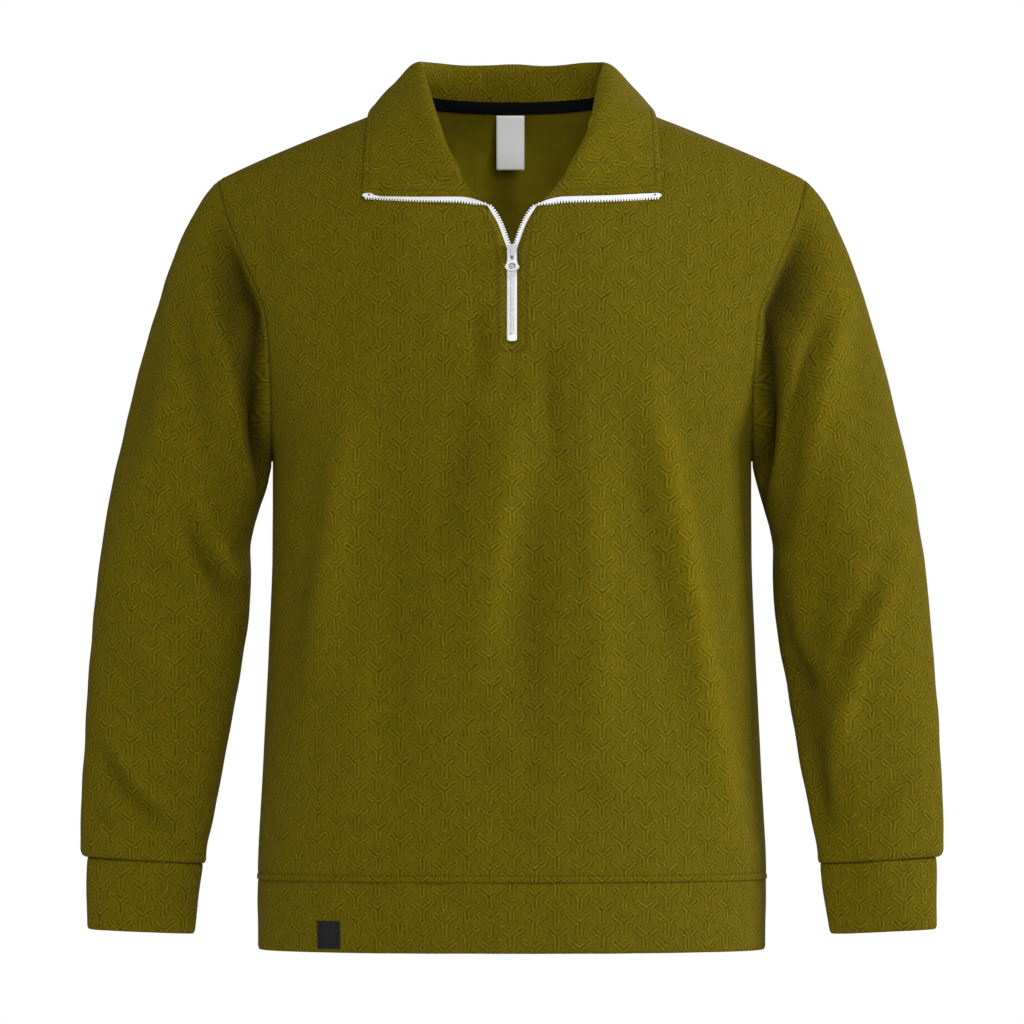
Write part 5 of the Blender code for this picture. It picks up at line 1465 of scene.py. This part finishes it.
@dataclass
class NeckTrims:
    """The black tape over the back neck seam and the bare white label under it."""

    wardrobe: Wardrobe
    collar: Skin
    index: Array
    front_rows: int
    tape_lifts: tuple[float, ...] = (-0.0022, -0.0016, 0.0030, 0.0076, 0.0082)
    tape_swell: tuple[float, ...] = (0.0, 0.0002, 0.0003, 0.0002, 0.0)
    thickness: float = 0.0010
    label_size: tuple[float, float] = (0.0234, 0.0455)
    label_middle: float = -0.0013
    label_top: float = -0.0034
    label_bow: float = 0.0012

    def build(self) -> None:
        """Makes tape and label."""
        skip = self.front_rows - 1 + (self.index.shape[0] // 2 - self.front_rows + 1) // 5
        rows = np.arange(skip, self.index.shape[0] - skip)
        points, normals = self.collar.points, self.collar.normals
        foot = points[self.index[rows, 0]]
        rise = unit(points[self.index[rows, 6]] - foot)
        face = unit(normals[self.index[rows, 2]])
        lifts, swell = np.array(self.tape_lifts), np.array(self.tape_swell)
        grid = (foot[:, None] + rise[:, None] * lifts[None, :, None]
                + face[:, None] * (2 * GAP + self.thickness + swell)[None, :, None])
        u = running_length(foot)[:, None] + 0 * lifts
        skin = grid_skin(grid, pack(u, 0 * u + lifts))
        tape = shell("neck_tape_woven", skin, self.thickness, (self.wardrobe.neck_tape,), 0.2)
        dress(tape, ["neck_tape"])
        self.label(grid[len(rows) // 2, 0])

    def label(self, top: Array) -> None:
        """A bare woven label, bowed a little across and swaying a little down its length."""
        across = np.linspace(-0.5, 0.5, 13) * self.label_size[0]
        down = np.linspace(0, 1, 25) * self.label_size[1]
        x, d = np.meshgrid(across, down)
        bow = self.label_bow * (1 - (2 * x / self.label_size[0]) ** 2) * (d / self.label_size[1])
        sway = 0.0006 * np.sin(d * 120)
        y = top[1] - 0.0002 + 0.06 * d - bow + sway
        grid = pack(x + self.label_middle, y, top[2] - self.tape_lifts[0] + self.label_top - d)
        skin = grid_skin(grid, pack(x, d), True)
        thing = shell("size_label_woven", skin, 0.0006, (self.wardrobe.label,), 0.2)
        dress(thing, ["size_label"])


# ---------------------------------------------------------------- repeated small parts

def rounded_block(length: float, width: float, height: float, waist: float) -> tuple[Array, Array]:
    """A little tooth: a lozenge plan of eight points, pinched by the waist, in three levels.

    Plan x = length/2 * sign(cos t)|cos t|^0.6, y = width/2 * (|sin t|^0.6 sign) * (1 - waist * x'^2).

    Args:
        length: size along x.
        width: size along y.
        height: size along z.
        waist: how much narrower the far end is.

    Returns:
        Points and quads.
    """
    t = whole_turn(8) + math.pi / 8
    x = np.sign(np.cos(t)) * np.abs(np.cos(t)) ** 0.6
    y = np.sign(np.sin(t)) * np.abs(np.sin(t)) ** 0.6 * (1 - waist * (x + 1) / 2)
    levels = np.array([(-0.5, 0.78), (-0.25, 1.0), (0.25, 1.0), (0.5, 0.78)])
    points = np.concatenate([pack(x * length / 2 * s, y * width / 2 * s, 0 * x + z * height)
                             for z, s in levels])
    quads = grid_quads(closed_index(4, 8))
    top = np.array([[0, 1, 2, 3], [0, 3, 4, 5], [0, 5, 6, 7]])
    foot = top[::-1][:, [0, 3, 2, 1]]
    return points, np.concatenate([quads, foot, top + 24])


def scatter(name: str, part: tuple[Array, Array], places: Array, frames: Array,
            material: Material) -> bpy.types.Object:
    """One mesh of many copies: place + frame . part.

    Args:
        name: object name.
        part: points and quads of one copy.
        places: where each copy goes.
        frames: for each copy, the directions of the part's x, y and z as rows.
        material: the finish.

    Returns:
        The object.
    """
    points, quads = part
    copies = places[:, None, :] + np.einsum("pk,nkj->npj", points, frames)
    faces = quads[None] + (np.arange(len(places)) * len(points))[:, None, None]
    cloth = np.tile(points[quads.reshape(-1), :2], (len(places), 1))
    return mesh_object(name, copies.reshape(-1, 3), faces.reshape(-1, 4).tolist(), (material,), cloth)


def path_frames(path: Array, facing: Array) -> Array:
    """Frames along a path: x along it, z nearest to the facing direction, y = z cross x."""
    along = unit(np.gradient(path, axis=0))
    out = unit(square_to(facing, along))
    return np.stack([along, np.cross(out, along), out], axis=1)


def resample(path: Array, extra: Array, pitch: float, margin: float = 0.0) -> tuple[Array, Array]:
    """Points at an even pitch along a path, with the extra vectors read at the same places."""
    length = running_length(path)
    stops = np.arange(margin, length[-1] - margin, pitch)
    return read_path(stops, length, path), read_path(stops, length, extra)


# ---------------------------------------------------------------- zip

@dataclass
class Zip:
    """The open zip: two free sides on the slit and the collar's ends, and the closed part below the slider."""

    wardrobe: Wardrobe
    front: Skin
    front_edge: Array
    collar: Skin
    collar_index: Array
    slit_width: float = 0.0038
    leaf_width: float = 0.0056
    thickness: float = 0.0010
    tooth_pitch: float = 0.0024
    closed_width: float = 0.0084
    slider_heights: tuple[float, float] = (-0.1352, -0.1222)
    tuck: float = 0.0040
    stop_heights: tuple[float, float] = (-0.2022, -0.1968)
    bend_base: tuple[float, float, float] = (-0.0019, -0.0016, 0.0004)
    bend_tip: tuple[float, float, float] = (-0.0056, -0.0020, -0.0014)
    end_round: float = 0.0050
    roundings: int = 40
    slit_top: float = -0.0945
    leaf_start: float = 0.0310
    bend_reach: float = 0.014

    def side_path(self) -> tuple[Array, Array]:
        """Paths of the fabric's edge and of the teeth's tips on the side with x above zero.

        They start inside the slider, by the tuck, follow the slit up to the bend, pass round the front's corner,
        and follow the collar's end. The bend is rounded: each point moves a quarter of the way towards its
        neighbours, again and again.
        """
        rows = self.front_edge
        edge, normal, away = edge_frame(self.front, rows[:, 0], rows[:, 1])
        slit = edge + away * 1.5 * GAP - normal * WALL / 2
        keep = (slit[:, 2] > self.slider_heights[1] - self.tuck) & (slit[:, 2] < self.slit_top)
        columns = self.collar_index[0]
        leaf_away = edge_frame(self.collar, columns, self.collar_index[1])[2]
        leaf = (self.collar.points[columns] - self.collar.normals[columns] * DOUBLE_WALL / 2
                + leaf_away * (1.5 * GAP + 0.0006))
        out = leaf[:, 0] > self.leaf_start
        corner = edge[-1:]
        base = np.concatenate([slit[keep], corner + np.array([self.bend_base]), leaf[out]])
        tips = np.concatenate([(slit + away * self.slit_width)[keep], corner + np.array([self.bend_tip]),
                               (leaf + leaf_away * self.leaf_width)[out]])
        length = running_length(base)
        stops = np.linspace(0, length[-1], 130)
        base, tips = (read_path(stops, length, path, smooth) for path in (base, tips))
        near = bell(np.linalg.norm(base - corner, axis=1, keepdims=True), self.bend_reach)[1:-1]
        for _ in range(self.roundings):
            for path in (base, tips):
                path[1:-1] += near * (path[:-2] - 2 * path[1:-1] + path[2:]) / 4
        return base, tips

    def build_side(self, hand: Hand) -> None:
        """One free side: woven tape with a rounded end, a row of teeth on its edge and a dark end stop."""
        base, tips = (path * np.array([hand.value, 1.0, 1.0]) for path in self.side_path())
        left = running_length(base)
        left = (left[-1] - left)[:, None]
        across = unit(tips - base)
        widths = np.linalg.norm(tips - base, axis=1, keepdims=True)
        normal = unit(np.cross(across, np.gradient(base, axis=0))) * hand.value
        tucked = np.sqrt(np.clip(1 - (1 - np.clip(left / self.end_round, 0, 1)) ** 2, 0, 1))
        shares = np.array([0.0, 0.08, 0.35, 0.62, 0.72])
        swell = np.array([-0.0001, 0.0, 0.0001, 0.0, -0.0001]) + self.thickness * 0.35
        spots = widths * (0.42 + (shares - 0.42) * tucked)
        grid = base[:, None] + across[:, None] * spots[..., None] + normal[:, None] * swell[None, :, None]
        skin = grid_skin(grid, pack(left + 0 * spots, spots), hand is Hand.RIGHT)
        word = "left" if hand is Hand.LEFT else "right"
        tape = shell("zip_tape_%s_woven" % word, skin, self.thickness * 0.7, (self.wardrobe.zip_tape,), 0.2)
        dress(tape, ["zip_tape_" + word])
        places, ways = resample(base + across * widths * 0.80, across, self.tooth_pitch, 0.0012)
        part = rounded_block(0.0014, 0.0014, 0.0026, 0.15)
        teeth = scatter("zip_teeth_" + word, part, places, path_frames(places, ways), self.wardrobe.teeth)
        dress(teeth)
        spot = (base + across * widths * 0.3 + normal * 0.0006)[-6:-5]
        dot = scatter("zip_end_stop_" + word, rounded_block(0.0013, 0.0013, 0.0008, 0.0), spot,
                      path_frames(base[-7:-4], normal[-7:-4])[1:2], self.wardrobe.neck_tape)
        dress(dot)

    def build_closed(self) -> None:
        """The closed part: two tapes, the meshed teeth between them, and the bottom stop."""
        heights = np.linspace(self.stop_heights[1] - 0.004, self.slider_heights[0] + 0.001, 40)
        y = FORM.depth(0 * heights, heights, Side.FRONT)
        middle = pack(0 * heights, y, heights)
        along = unit(np.gradient(middle, axis=0))
        out = np.cross(np.array([1.0, 0.0, 0.0]), along)
        xs = np.linspace(-0.5, 0.5, 9) * self.closed_width
        level = np.array([-0.0003, 0.0001, 0.0002, -0.0009, -0.0009, -0.0009, 0.0002, 0.0001, -0.0003])
        grid = (middle[:, None] + np.array([1.0, 0.0, 0.0]) * xs[None, :, None]
                + out[:, None] * level[None, :, None])
        u = running_length(middle)[:, None] + 0 * xs
        skin = grid_skin(grid, pack(u, 0 * u + xs))
        tape = shell("zip_chain_woven", skin, 0.0010, (self.wardrobe.zip_tape,), 0.2)
        dress(tape, ["zip_chain"])
        places, ways = resample(middle, out, self.tooth_pitch / 2, 0.0048)
        offset = np.where(np.arange(len(places)) % 2 == 0, 0.0006, -0.0006)
        places = places + ways * 0.0003 + np.array([1.0, 0.0, 0.0]) * offset[:, None]
        teeth = scatter("zip_teeth_closed", rounded_block(0.0008, 0.0026, 0.0014, 0.0), places,
                        path_frames(places, ways), self.wardrobe.teeth)
        dress(teeth)
        stop_z = sum(self.stop_heights) / 2
        foot = np.array([[0.0, float(FORM.depth(np.array(0.0), np.array(stop_z), Side.FRONT)), stop_z]])
        block = rounded_block(self.stop_heights[1] - self.stop_heights[0], self.closed_width, 0.0022, 0.05)
        stop = scatter("zip_bottom_stop", block, foot, np.array([[along[0], [-1.0, 0.0, 0.0], out[0]]]),
                       self.wardrobe.teeth)
        dress(stop, ["zip_stop"])

    def build(self) -> None:
        """Makes the whole zip but its slider and pull, which are solids with a plated finish."""
        for hand in Hand:
            self.build_side(hand)
        self.build_closed()
        for name in ("zip_slider", "zip_pull"):
            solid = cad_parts[name]
            solid.data.materials.clear()
            solid.data.materials.append(self.wardrobe.silver)


# ---------------------------------------------------------------- patch, stitches, studio

@dataclass
class HemPatch:
    """The small bare patch on the band, with its stitched border."""

    wardrobe: Wardrobe
    size: tuple[float, float] = (0.0185, 0.0230)
    middle: tuple[float, float] = (-0.1520, -0.6935)
    inset: float = 0.0022

    def surface(self, x: Array, z: Array, out: float) -> Array:
        """Points on the band's front, moved out."""
        y = FORM.depth(x, z, Side.FRONT)
        return pack(x, y + GAP - out, z)

    def build(self) -> None:
        """Makes the patch and its border stitches."""
        x, z = np.meshgrid(self.middle[0] + np.linspace(-0.5, 0.5, 17) * self.size[0],
                           self.middle[1] + np.linspace(-0.5, 0.5, 19) * self.size[1])
        near = np.minimum(self.size[0] / 2 - np.abs(x - self.middle[0]),
                          self.size[1] / 2 - np.abs(z - self.middle[1]))
        grid = self.surface(x, z, 0.0010)
        grid[..., 1] += 0.0004 * bell(near, 0.0010) + 0.0003 * bell(near - self.inset, 0.0008)
        skin = grid_skin(grid, pack(x, z))
        thing = shell("hem_patch_woven", skin, 0.0007, (self.wardrobe.patch,), 0.2)
        dress(thing, ["hem_patch"])
        half = np.array(self.size) / 2 - self.inset
        corners = np.array([(-1, -1), (1, -1), (1, 1), (-1, 1), (-1, -1)]) * half
        stops = np.linspace(0, 4, 81)
        px = np.interp(stops, np.arange(5), corners[:, 0]) + self.middle[0]
        pz = np.interp(stops, np.arange(5), corners[:, 1]) + self.middle[1]
        path = self.surface(px, pz, 0.0012)
        facing = np.tile([0.0, -1.0, 0.0], (len(path), 1))
        places, ways = resample(path, facing, 0.0021)
        stitches = scatter("hem_patch_stitches", rounded_block(0.0016, 0.0004, 0.0004, 0.0), places,
                           path_frames(places, ways), self.wardrobe.patch)
        dress(stitches)


@dataclass
class Topstitching:
    """Rows of thread on the collar's ends and edges and round the zip."""

    wardrobe: Wardrobe
    panel: BodyPanel
    front: Skin
    collar: Skin
    collar_index: Array
    inset: float
    pitch: float = 0.0030
    placket_top: float = -0.0990
    corner: float = 0.0014

    def row(self, name: str, path: Array, facing: Array) -> None:
        """One row of stitches along a path."""
        places, ways = resample(path, facing, self.pitch, 0.0015)
        thing = scatter(name, rounded_block(0.0023, 0.0005, 0.0005, 0.0), places, path_frames(places, ways),
                        self.wardrobe.thread)
        dress(thing)

    def lay_on_front(self, x: Array, z: Array) -> tuple[Array, Array]:
        """Points and normals of the front at (x, z), from the planes of its four nearest points."""
        apart = pack(x, z)[:, None] - self.front.points[None][..., [0, 2]]
        distance = np.linalg.norm(apart, axis=-1)
        near = np.argsort(distance, axis=1)[:, :4]
        rows = np.arange(len(x))[:, None]
        normal, step = self.front.normals[near], apart[rows, near]
        rise = (normal[..., 0] * step[..., 0] + normal[..., 2] * step[..., 1]) / normal[..., 1]
        plane = self.front.points[near, 1] - rise
        weight = 1 / (distance[rows, near] + 1e-6) ** 2
        weight = weight / weight.sum(axis=1, keepdims=True)
        return (pack(x, (plane * weight).sum(axis=1), z),
                unit((normal * weight[..., None]).sum(axis=1)))

    def inset_line(self, lines: Array) -> tuple[Array, Array]:
        """Points and normals at the inset along each grid line of point numbers."""
        points, normals = self.collar.points[lines], self.collar.normals[lines]
        length = running_length(points, axis=1)
        low = (length < self.inset).sum(axis=1) - 1
        rows = np.arange(len(lines))
        t = ((self.inset - length[rows, low]) / (length[rows, low + 1] - length[rows, low]))[:, None]
        return (points[rows, low] * (1 - t) + points[rows, low + 1] * t,
                unit(normals[rows, low] * (1 - t) + normals[rows, low + 1] * t))

    def build(self) -> None:
        """Stitches beside the leaf edges, above the zip on the leaf, and round the placket."""
        path, facing = self.inset_line(self.collar_index[:, ::-1][3:-3])
        self.row("collar_edge_stitches", path + facing * 0.0001, facing)
        for word, lines in (("left", self.collar_index), ("right", self.collar_index[::-1])):
            path, facing = self.inset_line(lines.T[30:-7])
            self.row("collar_end_stitches_" + word, path + facing * 0.0001, facing)
        foot = self.panel.placket_foot
        down = np.linspace(self.placket_top, foot + self.corner, 90)
        half = self.panel.placket.at("half_width", down)
        z = np.concatenate([down, np.full(20, foot), down[::-1]])
        x = self.panel.placket_middle + np.concatenate([-half, np.linspace(-0.0108, 0.0108, 20), half[::-1]])
        path, facing = self.lay_on_front(x, z)
        self.row("placket_stitches", path + facing * 0.0001, facing)


@dataclass(frozen=True)
class Studio:
    """Pale floor, soft lights and the photograph's camera."""

    distance: float = 9.0
    eye: float = -0.343
    view_width: float = 0.856
    sensor: float = 36.0
    floor_height: float = -1.20
    floor_radius: float = 3.0
    room: float = 0.22
    lights: Table = Table("turn rise distance size level", [
        (12.0, 14.0, 4.3, 1.4, 0.24), (-42.0, 4.0, 4.3, 2.0, 0.30), (82.0, 14.0, 4.0, 1.0, 0.92),
        (14.0, 56.0, 3.4, 0.9, 0.38), (165.0, 24.0, 4.0, 1.6, 0.36)])

    def area(self, name: str, turn: float, rise: float, distance: float, size: float, level: float) -> None:
        """A square soft light aimed at the garment's middle.

        Its power is level * (pi * distance)^2, so that a white surface square to it has the radiance level.

        Args:
            name: object name.
            turn: degrees from the camera's side towards +X.
            rise: degrees above the garment's middle.
            distance: from the garment's middle.
            size: the square's side.
            level: radiance it gives to white.
        """
        light = bpy.data.lights.new(name, "AREA")
        light.size = size
        light.energy = level * (math.pi * distance) ** 2
        thing = bpy.data.objects.new(name, light)
        bpy.context.scene.collection.objects.link(thing)
        turn, rise = math.radians(turn), math.radians(rise)
        thing.location = (distance * math.cos(rise) * math.sin(turn), -distance * math.cos(rise) * math.cos(turn),
                          self.eye + distance * math.sin(rise))
        thing.rotation_euler = (math.pi / 2 - rise, 0.0, turn)
        thing.visible_camera = False

    def build(self) -> None:
        """Makes camera, world, lights and floor."""
        camera = bpy.data.cameras.new("camera")
        camera.sensor_width = self.sensor
        camera.lens = self.sensor * self.distance / self.view_width
        camera.clip_end = 100.0
        eye = bpy.data.objects.new("camera", camera)
        bpy.context.scene.collection.objects.link(eye)
        eye.location = (0.0, -self.distance, self.eye)
        eye.rotation_euler = (math.pi / 2, 0.0, 0.0)
        bpy.context.scene.camera = eye
        bpy.context.scene.view_settings.view_transform = "Standard"
        world = bpy.data.worlds.new("studio")
        bpy.context.scene.world = world
        world.use_nodes = True
        s = Sketch(world.node_tree)
        background = world.node_tree.nodes["Background"]
        seen = s.add("LightPath").outputs["Is Camera Ray"]
        s.fill(background, {"Color": (1.0, 1.0, 1.0, 1.0),
                            "Strength": s.math("MULTIPLY_ADD", seen, 1 - self.room, self.room)})
        for name, row in zip(("key", "fill", "side", "top", "back"), self.lights.rows):
            self.area(name, *(float(value) for value in row))
        turn = whole_turn(96)
        disc = pack(self.floor_radius * np.cos(turn), self.floor_radius * np.sin(turn), 0 * turn + self.floor_height)
        material, sketch, shader = principled("pale_floor")
        place = sketch.add("TexCoord").outputs["Object"]
        tone = sketch.noise(place, 3.0)
        pale = sketch.blend("MIX", tone, (0.83, 0.83, 0.83, 1.0), (0.86, 0.86, 0.86, 1.0))
        sketch.fill(shader, {"Base Color": pale, "Roughness": 0.9})
        floor = mesh_object("floor", disc, [list(range(len(turn)))], (material,))


# ---------------------------------------------------------------- the garment


def main() -> None:
    """Builds every piece in order."""
    logging.basicConfig(level=logging.INFO, format="%(message)s")
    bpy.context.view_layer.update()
    wardrobe = Wardrobe.build()
    front_panel = BodyPanel(Side.FRONT, wardrobe, neck_rows=7)
    back_panel = BodyPanel(Side.BACK, wardrobe, neck_rows=5)
    front, back = front_panel.skin(), back_panel.skin()
    sleeves = {hand: Sleeve(hand, wardrobe) for hand in Hand}
    tubes = {hand: sleeve.skin() for hand, sleeve in sleeves.items()}
    join_body(front, back, tubes, len(front_panel.low_heights()))
    front_panel.build(front[0])
    back_panel.build(back[0])
    for hand in Hand:
        sleeves[hand].build(tubes[hand][0])
        Cuff(hand, wardrobe).build()
    HemBand(wardrobe).build()
    neck = front_panel.neck_rows * front_panel.fine
    front_neck = front[1][-neck - 1:]
    back_neck = back[1][-back_panel.neck_rows * back_panel.fine - 1:-1][::-1]
    collar = Collar(wardrobe, front[0], front_neck, back[0], back_neck)
    leaf, leaf_index = collar.skin()
    collar.build(leaf)
    NeckTrims(wardrobe, leaf, leaf_index, len(front_neck)).build()
    slit_rows = front[1][-neck - 1 - len(FORM.slit_heights) * front_panel.fine:-neck]
    Zip(wardrobe, front[0], slit_rows, leaf, leaf_index).build()
    HemPatch(wardrobe).build()
    Topstitching(wardrobe, front_panel, front[0], leaf, leaf_index, collar.stitch_inset).build()
    Studio().build()


if __name__ == "__main__":
    main()
